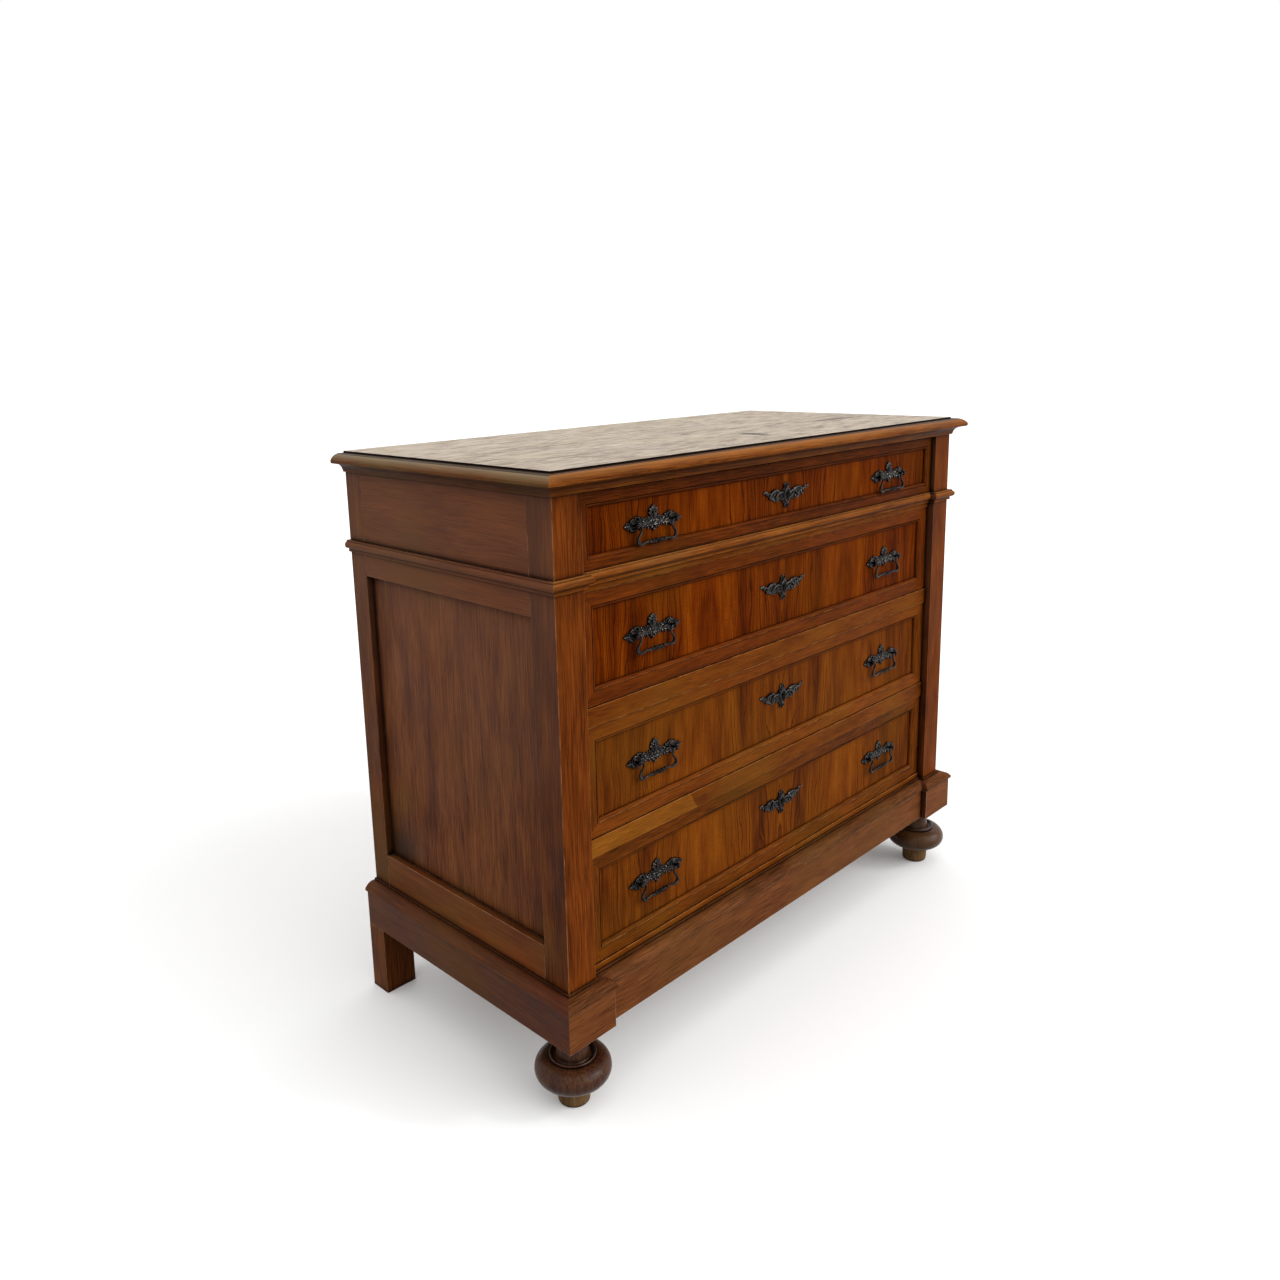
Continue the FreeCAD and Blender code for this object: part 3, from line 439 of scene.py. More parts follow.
# Edges of the top: the black stain that is left round the bleached surface.
EDGE_WALNUT = Wood("black_stained_edge", "#1c120b #150d08 #100906 #0a0604", band_share=0.3, streak=2.4,
                   streak_length=90, contrast=1.0, gloss=0.03, worn="#2c1c11", worn_share=0.4, hairline=0.2,
                   tint_share=0.0, mottle_share=0.0)
# Bleached top: the sun has taken the varnish and the colour, and left a grey beige with dark hairlines.
TOP_WALNUT = Wood("sun_bleached_walnut_top", "#cdbea8 #beae99 #ab9b86 #6b5543", band=60,
                  band_share=0.15, cloud_share=0.15, streak=5.0, streak_length=60, contrast=1.3,
                  roughness=0.5, gloss=0.35, grime="#3a2c20", worn="#3a2418", hairline=0.75, tint_share=0.0,
                  mottle="#b0a288", mottle_share=0.4, marks=True)
# Turned walnut of the feet, stained nearly black, with gloss left on the buns.
FOOT_WALNUT = Wood("turned_stained_walnut", "#4e3520 #352212 #20130a #100804", band=30, band_share=0.3,
                   streak=4.0, streak_length=90, contrast=1.0, hairline=0.45, roughness=0.28, gloss=0.15,
                   worn="#b09a82", grime="#080402", grime_reach=16, mottle="#5a4024", mottle_share=0.5)
# The pegs under the buns: the stain has been mopped off, and the bare wood is an olive brown.
PEG_WALNUT = Wood("bare_walnut_pegs", "#8f7350 #745a3b #58432a #332619", band=24, band_share=0.3,
                  streak=3.0, streak_length=90, contrast=1.0, hairline=0.45, roughness=0.6, gloss=0.05,
                  worn="#8f7a58", grime_reach=8)
# Unfinished pine of the drawer linings, runners and back, darkened with age.
OLD_PINE = Wood("planed_old_pine", "#c49a66 #b1854f #99703f #6e4c28", band=22, band_share=0.3,
                cloud_share=0.15, streak=3.2, streak_length=160, roughness=0.72, gloss=0.3, grime="#3b2816",
                worn="#7d5a34", worn_share=0.6, bump=0.6, hairline=0.35, tint="#a5703c", tint_share=0.3,
                mottle="#9a7440")
# Groundwork under the veneer of the drawer fronts: a browner board, so that the lapped dovetails stand out.
GROUNDWORK = Wood("planed_groundwork", "#94693c #7f5830 #694623 #452b14", band=22, band_share=0.3,
                  cloud_share=0.15, streak=2.4, streak_length=90, roughness=0.6, gloss=0.3, grime="#2a1a0c",
                  worn="#5e4020", worn_share=0.6, hairline=0.35)


# ---- bronze and iron ----
PATINA = [(0.3, "#0b0909"), (0.55, "#161211"), (0.75, "#282120")]
RUST = [(0.35, "#3b3836"), (0.6, "#544c46"), (0.75, "#6a4a33")]


def cast_bronze(name, rubbed_and_lit, first, share):
    """Cast bronze with a black-brown patina, black in the hollows and rubbed bright on the high spots, which
    also carry painted highlights, brightest on the sharpest.
    """
    material, tree = empty_material(name)
    place = add(tree, "TexCoord").outputs["Object"]
    patches = clouds_of(tree, place, 160.0, 4.0)
    high = add(tree, "NewGeometry").outputs["Pointiness"]
    hollow = add(tree, "AmbientOcclusion", {"Distance": HOLLOW * MM}, samples=6).outputs["AO"]
    # rubbed high spots with painted highlights, and near-white painted glints on the sharpest
    worn = calc(tree, "MULTIPLY", between(tree, high, first, first + 0.1),
                between(tree, patches, 0.36, 0.6, 0.2, share))
    bright = blended(tree, between(tree, high, first + 0.05, first + 0.14), linear(rubbed_and_lit), linear("#d2cbc0"))
    colour = blended(tree, worn, ramp(tree, patches, PATINA), bright)
    colour = blended(tree, between(tree, hollow, 0.45, 0.92, 1.0, 0.0), colour, linear("#010101"))
    grit = clouds_of(tree, place, 900.0, 2.0)
    bump = add(tree, "Bump", {"Height": grit, "Strength": 0.2, "Distance": 0.2 * MM}).outputs[0]
    finished(tree, colour, between(tree, patches, 0.3, 0.7, 0.14, 0.3), bump, Metallic=0.9)
    return material


def old_iron():
    """Forged iron of the lock cases and bolts, brown with old rust."""
    material, tree = empty_material("forged_iron")
    rust = clouds_of(tree, add(tree, "TexCoord").outputs["Object"], 90.0, 5.0)
    bump = add(tree, "Bump", {"Height": rust, "Strength": 0.4, "Distance": 0.3 * MM}).outputs[0]
    finished(tree, ramp(tree, rust, RUST), 0.55, bump, Metallic=0.7)
    return material


for wood in Wood.made:
    wood.material = wood_material(wood)
BRONZE = cast_bronze("patinated_cast_bronze", "#7d7975", 0.55, 0.8)
BAIL_BRONZE = cast_bronze("hand_rubbed_cast_bronze", "#7a7068", 0.53, 0.75)
IRON = old_iron()


# ---- wooden pieces with eased arrises ----
def islands(bm):
    """The separate solids of a mesh, each as a list of its vertices."""
    left = set(bm.verts)
    found = []
    while left:
        start = left.pop()
        group, edge = [start], [start]
        while edge:
            vertex = edge.pop()
            for link in vertex.link_edges:
                other = link.other_vert(vertex)
                if other in left:
                    left.remove(other)
                    group.append(other)
                    edge.append(other)
        found.append(group)
    return sorted(found, key=lambda group: tuple(min(v.co[i] for v in group) for i in range(3)))


def spans(vertices):
    """The three sizes of the box round some vertices."""
    return [max(v.co[i] for v in vertices) - min(v.co[i] for v in vertices) for i in range(3)]


def run_of(face):
    """The axis that a face is longest along."""
    sizes = spans(face.verts)
    return sizes.index(max(sizes))


def lay_grain(bm, name, direction=None):
    """Gives each face its grain coordinates. Mitred lengths touch, so each face of them follows its own run."""
    grain = bm.loops.layers.float_vector.new("grain")
    tone = bm.faces.layers.float.new("tone")
    rise = bm.verts.layers.float.new("rise")
    dice = random.Random(name)
    for group in islands(bm):
        sizes = spans(group)
        starts = [[dice.uniform(3, 9) for _ in range(3)] for _ in range(3)]
        shades = [dice.random() for _ in range(3)]
        lowest = min(v.co.z for v in group)
        for vertex in group:
            vertex[rise] = vertex.co.z - lowest
        for face in {face for vertex in group for face in vertex.link_faces}:
            along = run_of(face) if direction is None else direction
            order = [along] + sorted({0, 1, 2} - {along}, key=lambda i: -sizes[i])
            face[tone] = shades[along]
            for loop in face.loops:
                loop[grain] = Vector(loop.vert.co[axis] + starts[along][i] for i, axis in enumerate(order))


def made_whole(bm, merged):
    """Merges doubled vertices, and makes whole faces again of a packed piece's triangles."""
    bmesh.ops.remove_doubles(bm, verts=bm.verts, dist=merged)
    bmesh.ops.dissolve_limit(bm, angle_limit=FLAT_ANGLE, verts=bm.verts, edges=bm.edges)


def bevelled(bm, edges, offset):
    """Rounds some edges, and gives what that made."""
    return bmesh.ops.bevel(bm, geom=edges, offset=offset, offset_type="OFFSET", affect="EDGES", segments=2,
                           profile=0.5, material=-1, clamp_overlap=True)


def linked(name, data):
    """A new object in the scene."""
    thing = bpy.data.objects.new(name, data)
    bpy.context.scene.collection.objects.link(thing)
    return thing


def mark_creases(bm):
    """Smooth shading runs over the narrow faces of a moulding, and stops at its flats and arrises."""
    for face in bm.faces:
        face.smooth = True
    for edge in bm.edges:
        if len(edge.link_faces) != 2:
            edge.smooth = False
            continue
        small, large = sorted(face.calc_area() for face in edge.link_faces)
        edge.smooth = edge.calc_face_angle() < CREASE_ANGLE and large < ALIKE * small


def object_from(bm, name, body, materials, replaced):
    """An object of the chest from a finished bmesh, in place of a packed piece."""
    mesh = bpy.data.meshes.new(name)
    bm.to_mesh(mesh)
    bm.free()
    piece = linked(name, mesh)
    for material in materials:
        mesh.materials.append(material)
    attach(piece, body)
    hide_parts(replaced)


def cut_quirk(bm, mark):
    """Sinks a groove along the edges where the flat of a frame meets its ovolo, and marks its faces for painted
    shade.
    """
    limit = min(v.co.y for v in bm.verts) + MERGED * MM
    edges = [e for e in bm.edges if len(e.link_faces) == 2 and all(v.co.y < limit for v in e.verts)
             and FLAT_ANGLE < e.calc_face_angle() < ARRIS_ANGLE]
    across = max(abs(v.co.x) for e in edges for v in e.verts)
    low, high = (pick(v.co.z for e in edges for v in e.verts) for pick in (min, max))
    made = bevelled(bm, edges, QUIRK_WIDTH / 2 * MM)
    # the groove's faces are marked for painted shade
    for face in made["faces"]:
        face[mark] = -1.0
    near = QUIRK_WIDTH / 6 * MM
    for vertex in made["verts"]:
        x, z = abs(vertex.co.x), vertex.co.z
        if abs(x - across) < near or min(abs(z - low), abs(z - high)) < near:
            vertex.co.y += QUIRK_DEPTH * MM


def eased(node, body, wood, arris=ARRIS, direction=None, side=None, front=None, quirk=False):
    """A wooden piece as packed, with its arrises rounded by wear and its grain laid. Faces of the sides of the
    chest, and of the front, can be of another finish."""
    bm = bmesh.new()
    bm.from_mesh(frame["nodes"][node].data)
    made_whole(bm, MERGED * MM)
    mark = bm.faces.layers.float.new("arris")
    if quirk:
        cut_quirk(bm, mark)
    sharp = [e for e in bm.edges if len(e.link_faces) == 2 and e.calc_face_angle() > ARRIS_ANGLE]
    for face in bevelled(bm, sharp, arris * MM)["faces"]:
        face[mark] = 1.0
    # the top band of the cornice is marked for painted shade under the top's edge
    for face in bm.faces:
        if node == "cornice_moulding" and cad_box[1][2] - face.calc_center_median().z < TOP_EDGE_SHADE * MM:
            face[mark] = -1.0
    lay_grain(bm, node, direction)
    mark_creases(bm)
    bm.normal_update()
    woods = [wood] + [other for other in (side, front) if other]
    for face in bm.faces:
        if side and (abs(face.normal.x) > FACING or direction is None and run_of(face) == Y):
            face.material_index = woods.index(side)
        elif front and face.normal.y < -FACING:
            face.material_index = woods.index(front)
    object_from(bm, "worn_" + node, body, [w.material for w in woods], node)


X, Y, Z = 0, 1, 2
CASE_PIECES = {
    "cornice_moulding": ("walnut_front", MOULDING_WALNUT, None, SIDE_MOULDING),
    "right_front_post": ("walnut_front", POST_WALNUT, Z, SIDE_WALNUT),
    "left_front_post": ("walnut_front", POST_WALNUT, Z, SIDE_WALNUT),
    "right_rear_post": ("walnut_side", SIDE_WALNUT, Z, None),
    "left_rear_post": ("walnut_side", SIDE_WALNUT, Z, None),
    "right_side_panel": ("walnut_side", PANEL_WALNUT, Z, None),
    "left_side_panel": ("walnut_side", PANEL_WALNUT, Z, None),
    "side_rails": ("walnut_side", SIDE_WALNUT, Y, None),
    "frieze_boards": ("walnut_side", SIDE_WALNUT, Y, None),
    "waist_moulding": ("walnut_front", MOULDING_WALNUT, None, SIDE_WALNUT),
    "plinth_boards": ("walnut_front", PLINTH_WALNUT, None, LOW_SIDE_WALNUT),
    "plinth_moulding": ("walnut_front", PLINTH_WALNUT, None, LOW_SIDE_WALNUT),
    "front_rails": ("walnut_front", FRONT_WALNUT, X, None),
    "drawer_runners": ("softwood", OLD_PINE, Y, None),
    "drawer_guides": ("softwood", OLD_PINE, None, None),
    "bottom_board": ("softwood", OLD_PINE, X, None),
    "back_rails": ("softwood", OLD_PINE, X, None),
    "back_boards": ("softwood", OLD_PINE, Z, None),
}
for node, (slot, wood, direction, side) in CASE_PIECES.items():
    eased(node, "case", wood, direction=direction, side=side)
eased("top_board", "case", TOP_WALNUT, direction=X, side=EDGE_WALNUT, front=EDGE_WALNUT)

for number in DRAWERS:
    prefix, body = "drawer_%d_" % number, "drawer_%d" % number
    eased(prefix + "front", body, GROUNDWORK, FINE_ARRIS, X,
          front=RED_VENEER if number in UPPER_DRAWERS else BROWN_VENEER)
    eased(prefix + "frame", body, FRAME_WALNUT if number in UPPER_DRAWERS else FADED_FRAME,
          FINE_ARRIS, quirk=True)
    eased(prefix + "box", body, OLD_PINE)
    eased(prefix + "bottom", body, OLD_PINE, FINE_ARRIS, Y)
    for iron in ("lock", "bolt"):
        materials = frame["nodes"][prefix + iron].data.materials
        materials.clear()
        materials.append(IRON)


# ---- turned feet ----
def lathe(profile, steps, axis):
    """A turned form: the profile's (radius, distance along the axis) points spun once round the axis."""
    bm = bmesh.new()
    across = Vector((1, 0, 0))
    line = [bm.verts.new(across * radius + axis * along) for radius, along in profile]
    edges = [bm.edges.new(ends) for ends in zip(line, line[1:])]
    bmesh.ops.spin(bm, geom=line + edges, cent=(0, 0, 0), axis=axis, angle=2 * math.pi, steps=steps,
                   use_merge=True)
    bmesh.ops.remove_doubles(bm, verts=bm.verts, dist=MERGED)
    bmesh.ops.recalc_face_normals(bm, faces=bm.faces)
    return bm


def arc(centre, radius, start, end, count):
    """Points along an arc in the plane of a profile, between two angles in degrees."""
    angles = [math.radians(start + (end - start) * i / count) for i in range(count + 1)]
    return [(centre[0] + radius * math.cos(a), centre[1] + radius * math.sin(a)) for a in angles]


UP = Vector((0, 0, 1))
OUT = Vector((0, -1, 0))
FOOT_PROFILE = ([(0, 0), (23.6, 0), (25.6, 1.4), (26.4, 4), (27.4, 20), (28.2, 32), (29.0, 38), (30.6, 42.2),
                 (33.4, 44.6)]
                + arc((42, 61), 21, -112, 99, 25)
                + [(37.8, 81.8), (38.6, 83.4), (38.6, 85.2), (37.6, 86.2), (36.2, 86.0), (35.2, 84.6),
                   (33.4, 82.2), (30.8, 81.2), (28.6, 82.2), (27.6, 84.6), (27.2, 88), (26.2, 92), (25.2, 97),
                   (24.8, 104), (24.9, 116), (25.5, 130), (12, 130), (12, 168), (11, 170), (0, 170)])


def set_down(bm, spot):
    """Turns a form's millimetres into metres, and moves it to its spot."""
    bmesh.ops.scale(bm, vec=(MM, MM, MM), verts=bm.verts)
    bmesh.ops.translate(bm, vec=spot, verts=bm.verts)
    return bm


def joined(first, second):
    """Both meshes in the first."""
    mesh = bpy.data.meshes.new("form")
    second.to_mesh(mesh)
    second.free()
    first.from_mesh(mesh)
    bpy.data.meshes.remove(mesh)
    return first


# ---- cast bronze mounts ----
# A casting is made once in millimetres, about the middle of its back: X to the right, -Y out of the drawer.
class Casting:
    """A mesh put together from separate closed forms."""

    def __init__(self):
        self.bm = bmesh.new()

    def take(self, form, place=(0, 0, 0), turn=0.0, size=(1, 1, 1)):
        """Adds a form: sized, turned about the axis that points out of the drawer, and put in its place."""
        matrix = Matrix.LocRotScale(Vector(place), Matrix.Rotation(math.radians(turn), 3, "Y"), Vector(size))
        bmesh.ops.transform(form, matrix=matrix, verts=form.verts)
        bmesh.ops.recalc_face_normals(form, faces=form.faces)
        joined(self.bm, form)

    def both(self, make, *values, place=(0, 0, 0), size=(1, 1, 1)):
        """The same form on the right and, mirrored, on the left."""
        for side in (1, -1):
            self.take(make(*values), (side * place[0], *place[1:]), size=(side * size[0], *size[1:]))


def bead(radius, fineness=2):
    """A ball."""
    bm = bmesh.new()
    bmesh.ops.create_icosphere(bm, subdivisions=fineness, radius=radius)
    return bm


def boss(profile, steps):
    """A round form that stands on the drawer; profile points are (radius, distance out)."""
    return lathe(profile, steps, OUT)


def cut_plate(outline, thickness, arris):
    """A plate of one outline, with its front arrises rounded."""
    bm = bmesh.new()
    face = bm.faces.new([bm.verts.new((x, 0, z)) for x, z in outline])
    made = bmesh.ops.extrude_face_region(bm, geom=[face])
    raised = [v for v in made["geom"] if isinstance(v, bmesh.types.BMVert)]
    bmesh.ops.translate(bm, vec=OUT * thickness, verts=raised)
    bmesh.ops.recalc_face_normals(bm, faces=bm.faces)
    rim = [e for e in bm.edges if all(v.co.y < -thickness / 2 for v in e.verts)]
    bevelled(bm, rim, arris)
    return bm


def tube(points, closed=False, fineness=2):
    """A round bar along a smooth line through (x, distance out, z, radius) points."""
    line = bpy.data.curves.new("line", "CURVE")
    line.dimensions = "3D"
    line.bevel_depth = 1.0
    line.bevel_resolution = fineness
    line.resolution_u = 5
    line.use_fill_caps = not closed
    run = line.splines.new("NURBS")
    run.points.add(len(points) - 1)
    for point, (x, out, z, radius) in zip(run.points, points):
        point.co = (x, -out, z, 1.0)
        point.radius = radius
    run.order_u = 3
    run.use_cyclic_u = closed
    run.use_endpoint_u = not closed
    holder = bpy.data.objects.new("line", line)
    mesh = bpy.data.meshes.new_from_object(holder)
    bm = bmesh.new()
    bm.from_mesh(mesh)
    bmesh.ops.remove_doubles(bm, verts=bm.verts, dist=MERGED)
    bpy.data.objects.remove(holder)
    bpy.data.curves.remove(line)
    bpy.data.meshes.remove(mesh)
    return bm


def ring(across, upward, out, thickness, corners=12):
    """A closed tube round an oval."""
    angles = [2 * math.pi * i / corners for i in range(corners)]
    return tube([(across * math.cos(a), out, upward * math.sin(a), thickness) for a in angles], closed=True)


def mirrored_outline(bottom, right, top):
    """An outline from its lowest point up its right side to its highest, and down again on the left."""
    return [bottom] + right + [top] + [(-x, z) for x, z in reversed(right)]


POST_PLACE = (45, 0, 0)
ROSETTE = [(0, 0), (10.8, 0), (11.0, 1.4), (10.7, 2.9), (9.8, 3.6), (8.8, 3.3), (7.9, 2.2), (6.2, 1.5),
           (4.6, 1.5), (3.8, 2.1), (3.0, 2.6), (0, 2.6)]
POST = [(0, 0), (3.2, 0), (2.9, 2.0), (2.2, 4.2), (2.2, 5.8), (3.0, 6.8), (3.9, 8.2), (4.2, 9.8), (4.1, 11.2),
        (3.5, 12.7), (2.2, 13.7), (0, 14.0)]
BODY = mirrored_outline((0, -13), [(3, -9), (7, -6.5), (11, -8), (15, -5.5), (21, -4.6), (26, -7.2), (31, -6.8),
                                   (35, -4), (35, 4), (32, 7.6), (28, 6.4), (25, 8), (21, 5.6), (17, 7.2),
                                   (13, 6.4), (9.5, 9.5), (5, 12)], (0, 13))
LEAF_TIP = [(8.5, -4), (12, -6), (15, -4.6), (17.5, -2.2), (22, 0), (17.5, 2.4), (15.5, 5.2), (12, 5.6),
            (8.5, 4)]
TOP_KNOBS = [(12.5, 8.6, 1.7), (17.5, 8.2, 1.3), (21.5, 6.6, 1.6), (27, 8.8, 2.2), (32, 9.4, 1.7)]
LOW_KNOBS = [(12, -8.2, 1.6), (18, -5.6, 1.3), (24, -7, 1.5), (29.5, -7.6, 1.9)]


def pull_casting():
    """A cast pull plate: rosettes with ball-headed posts, leaf tips, a foliage body, a crest and a pendant."""
    plate = Casting()
    plate.take(cut_plate(BODY, 2.0, 0.5))
    plate.both(boss, ROSETTE, 40, place=POST_PLACE)
    plate.both(boss, POST, 28, place=POST_PLACE)
    plate.both(cut_plate, LEAF_TIP, 2.4, 0.6, place=POST_PLACE)
    plate.both(tube, [(9, 2.2, 0, 1.4), (15, 2.6, 0.3, 1.5), (20, 2.2, 0, 0.7)], place=POST_PLACE)
    for x, z, radius in TOP_KNOBS + LOW_KNOBS:
        plate.both(bead, radius, place=(x, -1.8, z), size=(1, 0.9, 1))
    # the scrolls that cover the body
    plate.both(tube, [(3, 2, -3, 1.2), (9, 2.6, 4, 1.4), (15, 2.4, -2, 1.4), (21, 2.6, 3.4, 1.4),
                      (27, 2.4, -3, 1.4), (33, 2.6, 3, 1.3), (36, 2, 0, 1.0)])
    plate.both(tube, [(5, 2, 4, 1.0), (11, 2.6, -4.4, 1.2), (18, 2.4, 4.2, 1.2), (24, 2.6, -4.6, 1.2),
                      (30, 2.4, 4.6, 1.2), (34, 2, -3, 0.9)])
    plate.both(tube, [(31, 2, 5, 1.0), (32, 2.6, 10, 1.5), (37, 2.8, 12.6, 1.6), (42, 2.4, 11.6, 1.0)])
    dice = random.Random("foliage")
    for _ in range(24):
        x, z = dice.uniform(3, 34), dice.uniform(-4.6, 4.8)
        plate.both(bead, dice.uniform(0.8, 1.25), 1, place=(x, -2.2, z))
    # the crest
    plate.take(ring(7.6, 7.6, 1.8, 1.9), place=(0, 0, 15.5))
    for angle, radius in ((0, 2.1), (36, 2.3), (72, 2.2), (108, 2.2), (144, 2.3), (180, 2.1)):
        a = math.radians(angle)
        plate.take(bead(radius), place=(9.2 * math.cos(a), -1.8, 15.5 + 9.2 * math.sin(a)), size=(1, 0.85, 1))
    plate.take(bead(1.9), place=(0, -1.8, 26), size=(0.9, 0.9, 1.1))
    plate.take(tube([(0, 2, 3, 2.4), (0, 2.8, 9, 1.6), (0, 3.2, 15, 2.4), (0, 2.6, 20, 1.3), (0, 2, 24, 0.9)]))
    plate.both(tube, [(1, 2.6, 12, 1.2), (5, 2.8, 13, 1.2), (6.4, 2.4, 17, 1.1), (3.6, 2.4, 18.6, 1.2)])
    plate.take(ring(3.4, 3.4, 2.4, 1.1, 8), place=(0, 0, 4.5))
    # the pendant
    for x, z, radius in ((0, -3.6, 2.2), (-4.6, -7.4, 2.3), (4.6, -7.4, 2.3), (0, -11.2, 2.6)):
        plate.take(bead(radius), place=(x, -2.6, z))
    return plate.bm


BAIL_DROP = 28.0  # from the axis of a bail to the middle of its grip
BAIL_LINE = [(46.5, 0, 1.4), (41.5, 0, 1.45), (38.6, 0.4, 1.8), (35.6, -3.2, 1.9), (35.0, -8.6, 1.75),
             (39.0, -14.2, 2.0), (43.6, -19.4, 2.5), (43.6, -26.0, 3.0), (38.2, -30.0, 3.0), (31.0, -28.6, 2.3),
             (24.0, -27.0, 1.9), (16, -28, 2.0)]
GRIP = [(0, -17.5), (2.4, -17.5), (3.7, -16.0), (2.6, -14.4), (3.6, -12.8), (4.3, -10), (2.8, -7.4),
        (3.8, -5.8), (4.3, -3), (3.0, -1.1), (4.4, 0)]
GRIP_LEAVES, GRIP_TWIST = 5, 0.16  # leaves round the grip, and their twist in radians per millimetre
GRIP_RELIEF, GRIP_HALF, GRIP_FADE = 0.2, 17.5, 3  # how deep they are, half the grip, and where they fade


def bail_casting():
    """A swan-neck bail with a leaf-wrapped grip, about the axis it swings on."""
    bail = Casting()
    line = [(x, 0, z, radius) for x, z, radius in BAIL_LINE + [(8, -BAIL_DROP, 2.2)]]
    bail.take(tube(line + [(-x, out, z, radius) for x, out, z, radius in reversed(line)], fineness=4))
    profile = GRIP + [(radius, -along) for radius, along in reversed(GRIP[:-1])]
    grip = lathe(profile, 40, UP)
    for vertex in grip.verts:
        around = math.atan2(vertex.co.y, vertex.co.x)
        lobes = math.cos(GRIP_LEAVES * around + GRIP_TWIST * abs(vertex.co.z) * GRIP_LEAVES)
        swell = 1 + GRIP_RELIEF * (lobes - 1) * min(1.0, (GRIP_HALF - abs(vertex.co.z)) / GRIP_FADE)
        vertex.co.x *= swell
        vertex.co.y *= swell
    bail.take(grip, place=(0, 0, -BAIL_DROP), turn=90)
    return bail.bm


def middle_of_back(node):
    """The middle of the face that a packed plate turns to its drawer."""
    low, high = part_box(node)
    return Vector(((low.x + high.x) / 2, high.y, (low.z + high.z) / 2))


def escutcheon_casting(node):
    """A keyhole plate: the packed plate under an oval shield, scrolled leaves and spikes."""
    base = bmesh.new()
    base.from_mesh(frame["nodes"][node].data)
    bmesh.ops.translate(base, vec=-middle_of_back(node), verts=base.verts)
    bmesh.ops.scale(base, vec=(1 / MM, 1 / MM, 1 / MM), verts=base.verts)
    made_whole(base, MERGED)
    plate = Casting()
    plate.take(base)
    plate.take(ring(7.4, 12.4, 3.4, 2.0))
    plate.take(ring(4.2, 8.0, 3.6, 0.9))
    for z, lift in ((18, 1), (-18, -1)):
        plate.take(tube([(0, 2, 13 * lift, 2.2), (0, 2.4, z, 2.0), (0, 2, z + 5.6 * lift, 0.6)]))
        plate.both(tube, [(1, 2, 14 * lift, 1.3), (5.4, 2.4, 15.6 * lift, 1.5), (6.6, 2.2, 20.4 * lift, 1.0),
                          (4.4, 2, 21 * lift, 1.1)])
    plate.both(tube, [(7, 2, 3, 1.5), (16, 2.8, 8, 2.0), (26, 2.8, 5.6, 2.2), (33.5, 2.6, -3, 1.9),
                      (29.5, 2.4, -8.6, 1.6), (24.5, 2.6, -5, 1.4), (27, 2.6, -2, 1.1)])
    plate.both(tube, [(9, 2, -6, 1.3), (15, 2.4, -3, 1.6), (21, 2.4, 1.4, 1.4), (24, 2.2, 8.6, 1.2)])
    plate.both(tube, [(24, 2, 9, 1.2), (34, 2.8, 12.6, 1.7), (44, 2.8, 9, 2.1), (52, 2.6, 1, 1.7),
                      (48, 2.4, -3.4, 1.4), (43.4, 2.6, -0.6, 1.2), (46, 2.4, 2, 1.0)])
    plate.both(tube, [(44, 2, 4, 1.2), (51, 2.6, 8.4, 1.7), (58, 2.4, 7, 1.7), (63, 2.2, 9.4, 1.2),
                      (67, 2, 12, 0.7)])
    for x, z, radius in ((27.5, -4.4, 1.8), (47.2, 0, 1.7), (14, 0.4, 1.6), (37, 3.4, 1.6), (57, 3.2, 1.3),
                         (36, 9.4, 1.3), (18, -6.4, 1.4)):
        plate.both(bead, radius, place=(x, -2.4, z))
    return plate.bm


def placed(model, spot):
    """A copy of a casting, in metres, with the middle of its back at a spot."""
    bm = set_down(model.copy(), spot)
    for face in bm.faces:
        face.smooth = True
    for edge in bm.edges:
        edge.smooth = len(edge.link_faces) == 2 and edge.calc_face_angle() < ARRIS_ANGLE
    return bm


# ---- feet and mounts in their places ----
low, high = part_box("front_feet")
radius = (high.y - low.y) / 2
feet = joined(*(set_down(lathe(FOOT_PROFILE, FOOT_STEPS, UP), (x, low.y + radius, 0))
                for x in (high.x - radius, low.x + radius)))
lay_grain(feet, "feet", Z)
for face in feet.faces:
    face.smooth = True
    face.material_index = int(face.calc_center_median().z < PEG_HEIGHT * MM)
for edge in feet.edges:
    edge.smooth = edge.calc_face_angle() < FOOT_CREASE
object_from(feet, "turned_feet", "case", [FOOT_WALNUT.material, PEG_WALNUT.material],
            "front_feet")

pull_model, bail_model = pull_casting(), bail_casting()
key_model = escutcheon_casting("drawer_1_escutcheon")
hinges = {joint["name"]: Vector(joint["pos_m"]) for joint in frame["joints"] if joint["type"] == "hinge"}
for number in DRAWERS:
    body, prefix = "drawer_%d" % number, "drawer_%d_" % number
    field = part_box(prefix + "pull_plates")[1].y
    plates = bmesh.new()
    for word in SIDES:
        hinge = hinges["bail_%d_%s_hinge" % (number, word)]
        plates = joined(plates, placed(pull_model, Vector((hinge.x, field, hinge.z))))
        object_from(placed(bail_model, hinge), "cast_%sbail_%s" % (prefix, word), "bail_%d_%s" % (number, word),
                    [BAIL_BRONZE], prefix + "bail_" + word)
    object_from(plates, "cast_%spull_plates" % prefix, body, [BRONZE], prefix + "pull_plates")
    object_from(placed(key_model, middle_of_back(prefix + "escutcheon")), "cast_%sescutcheon" % prefix, body,
                [BRONZE], prefix + "escutcheon")

# ---- floor, light and camera ----
FLOOR_SIZE = 30.0  # metres
CAMERA_PLACE = Vector((-1536.6, -1333.6, 1198.95)) * MM
CAMERA_TURNS = [math.radians(turn) for turn in (-44.85, -11.77, -1.43)]  # yaw, pitch and roll
LENS, SENSOR, CAMERA_SHIFT = 29.25, 36.0, (0.0222, -0.0609)
FLOOR_SHADES = (0.22, 0.95)  # to the light that it throws back up, and to the eye
FLOOR_GLOW = 0.05
DOME = (0.25, 1.3)  # strength at the horizon and overhead


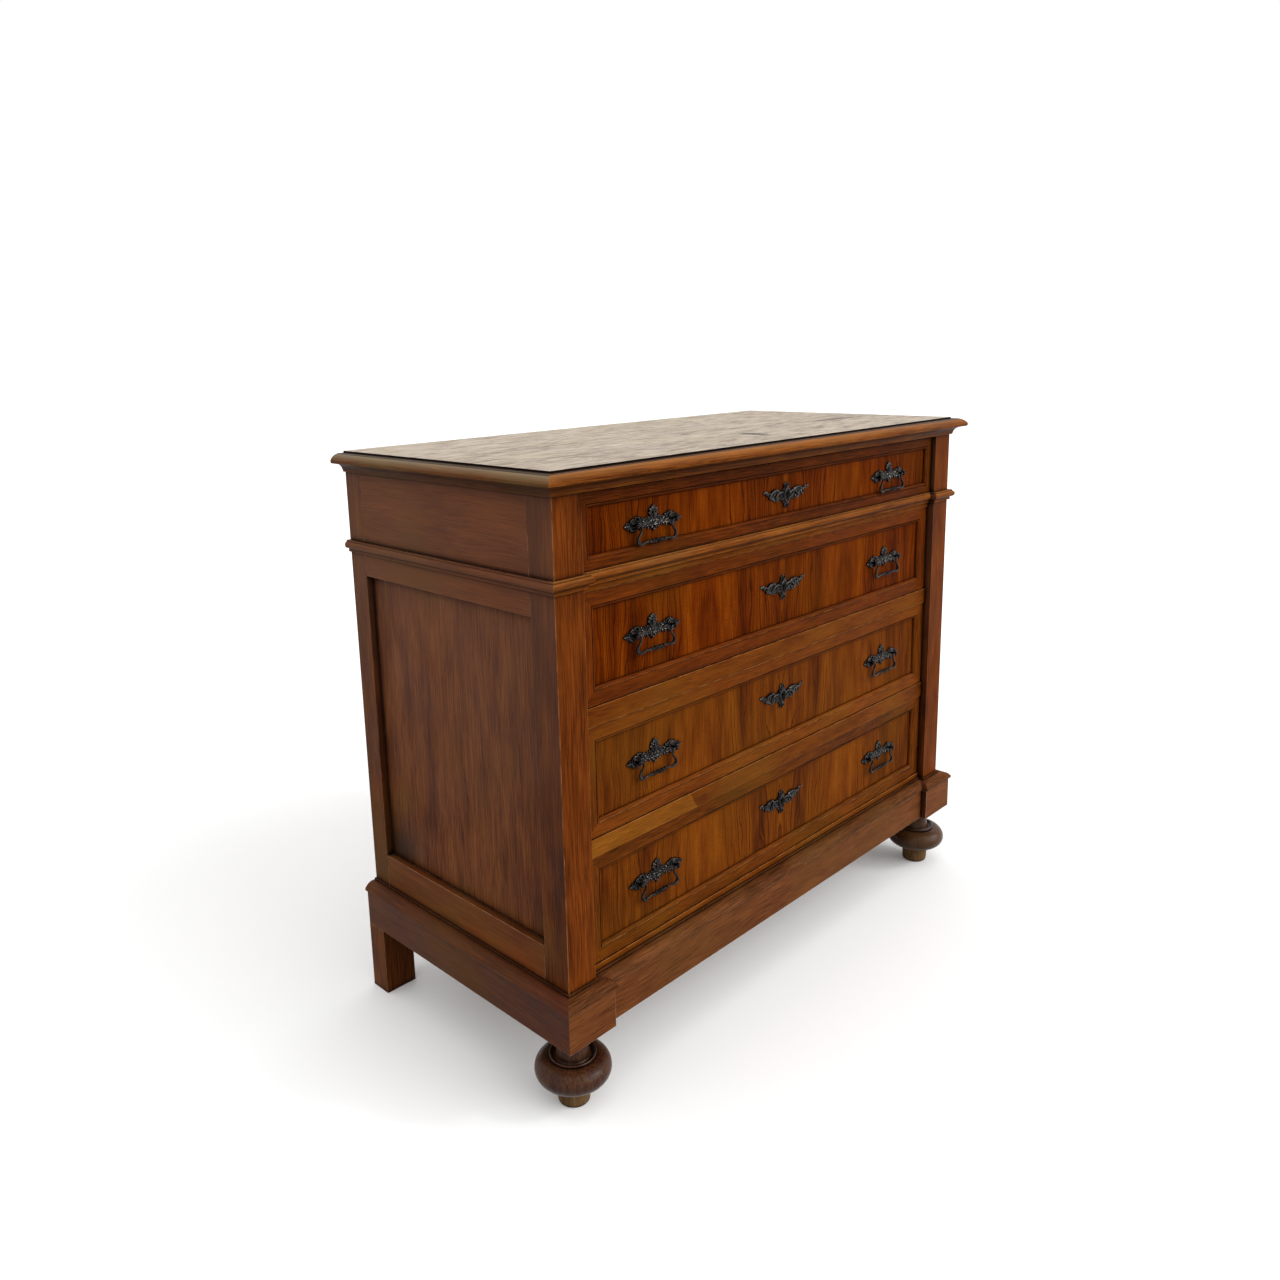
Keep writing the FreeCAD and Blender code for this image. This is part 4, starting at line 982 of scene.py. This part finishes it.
def plainly_seen(tree):
    """1 where the camera, metal or varnish looks, and 0 for light on its way to other faces."""
    rays = add(tree, "LightPath").outputs
    return calc(tree, "MAXIMUM", rays["Is Camera Ray"],
                calc(tree, "MAXIMUM", rays["Is Glossy Ray"], rays["Is Transmission Ray"]))


def pale_floor():
    """A floor that shows white and keeps the shadow, and throws little light back up on the wood."""
    bm = bmesh.new()
    bmesh.ops.create_grid(bm, x_segments=1, y_segments=1, size=FLOOR_SIZE / 2)
    mesh = bpy.data.meshes.new("studio_floor")
    bm.to_mesh(mesh)
    bm.free()
    material, tree = empty_material("white_studio_floor")
    seen = plainly_seen(tree)
    colour = blended(tree, seen, *([shade, shade, shade, 1] for shade in FLOOR_SHADES))
    diffuse = add(tree, "BsdfDiffuse", {0: colour}).outputs[0]
    glow = add(tree, "Emission", {0: [1, 1, 1, 1], 1: calc(tree, "MULTIPLY", seen, FLOOR_GLOW)}).outputs[0]
    whole = add(tree, "AddShader", {0: diffuse, 1: glow}).outputs[0]
    add(tree, "OutputMaterial", {0: whole})
    mesh.materials.append(material)
    linked("studio_floor", mesh)


def sky():
    """A soft dome, bright overhead, that the camera, metal and varnish see as plain white."""
    world = bpy.data.worlds.new("studio_dome")
    bpy.context.scene.world = world
    world.use_nodes = True
    tree = world.node_tree
    tree.nodes.clear()
    height = axes(tree, add(tree, "TexCoord").outputs["Generated"])[2]
    level = between(tree, height, 0.0, 1.0, *DOME)
    strength = between(tree, plainly_seen(tree), 0.0, 1.0, level, 1.0)
    background = add(tree, "Background", {0: [1, 1, 1, 1], 1: strength})
    add(tree, "OutputWorld", {0: background.outputs[0]})


def sun(name, azimuth, elevation, strength, spread):
    """A soft lamp far away. Azimuth 0 comes from the front of the chest, 90 from its right side."""
    lamp = bpy.data.lights.new(name, "SUN")
    lamp.energy = strength * math.pi
    lamp.angle = math.radians(spread)
    around, up = math.radians(azimuth), math.radians(elevation)
    source = Vector((math.sin(around) * math.cos(up), -math.cos(around) * math.cos(up), math.sin(up)))
    linked(name, lamp).rotation_euler = source.to_track_quat("Z", "Y").to_euler()


def camera():
    """The camera, from its place, its three turns and its lens."""
    yaw, pitch, roll = CAMERA_TURNS
    ahead = Vector((-math.sin(yaw) * math.cos(pitch), math.cos(yaw) * math.cos(pitch), math.sin(pitch)))
    level = Vector((math.cos(yaw), math.sin(yaw), 0))
    upright = level.cross(ahead)
    right = level * math.cos(roll) + upright * math.sin(roll)
    up = upright * math.cos(roll) - level * math.sin(roll)
    lens = bpy.data.cameras.new("camera")
    lens.lens, lens.sensor_width = LENS, SENSOR
    lens.shift_x, lens.shift_y = CAMERA_SHIFT
    holder = linked("camera", lens)
    turned = Matrix((right, up, -ahead)).transposed().to_4x4()
    holder.matrix_world = Matrix.Translation(CAMERA_PLACE) @ turned
    bpy.context.scene.camera = holder


pale_floor()
sky()
sun("key_light", azimuth=25, elevation=28, strength=0.55, spread=50)
sun("side_light", azimuth=-100, elevation=25, strength=0.1, spread=60)
sun("window", azimuth=40, elevation=34, strength=0.1, spread=6)
camera()
bpy.context.scene.view_settings.view_transform = "Standard"
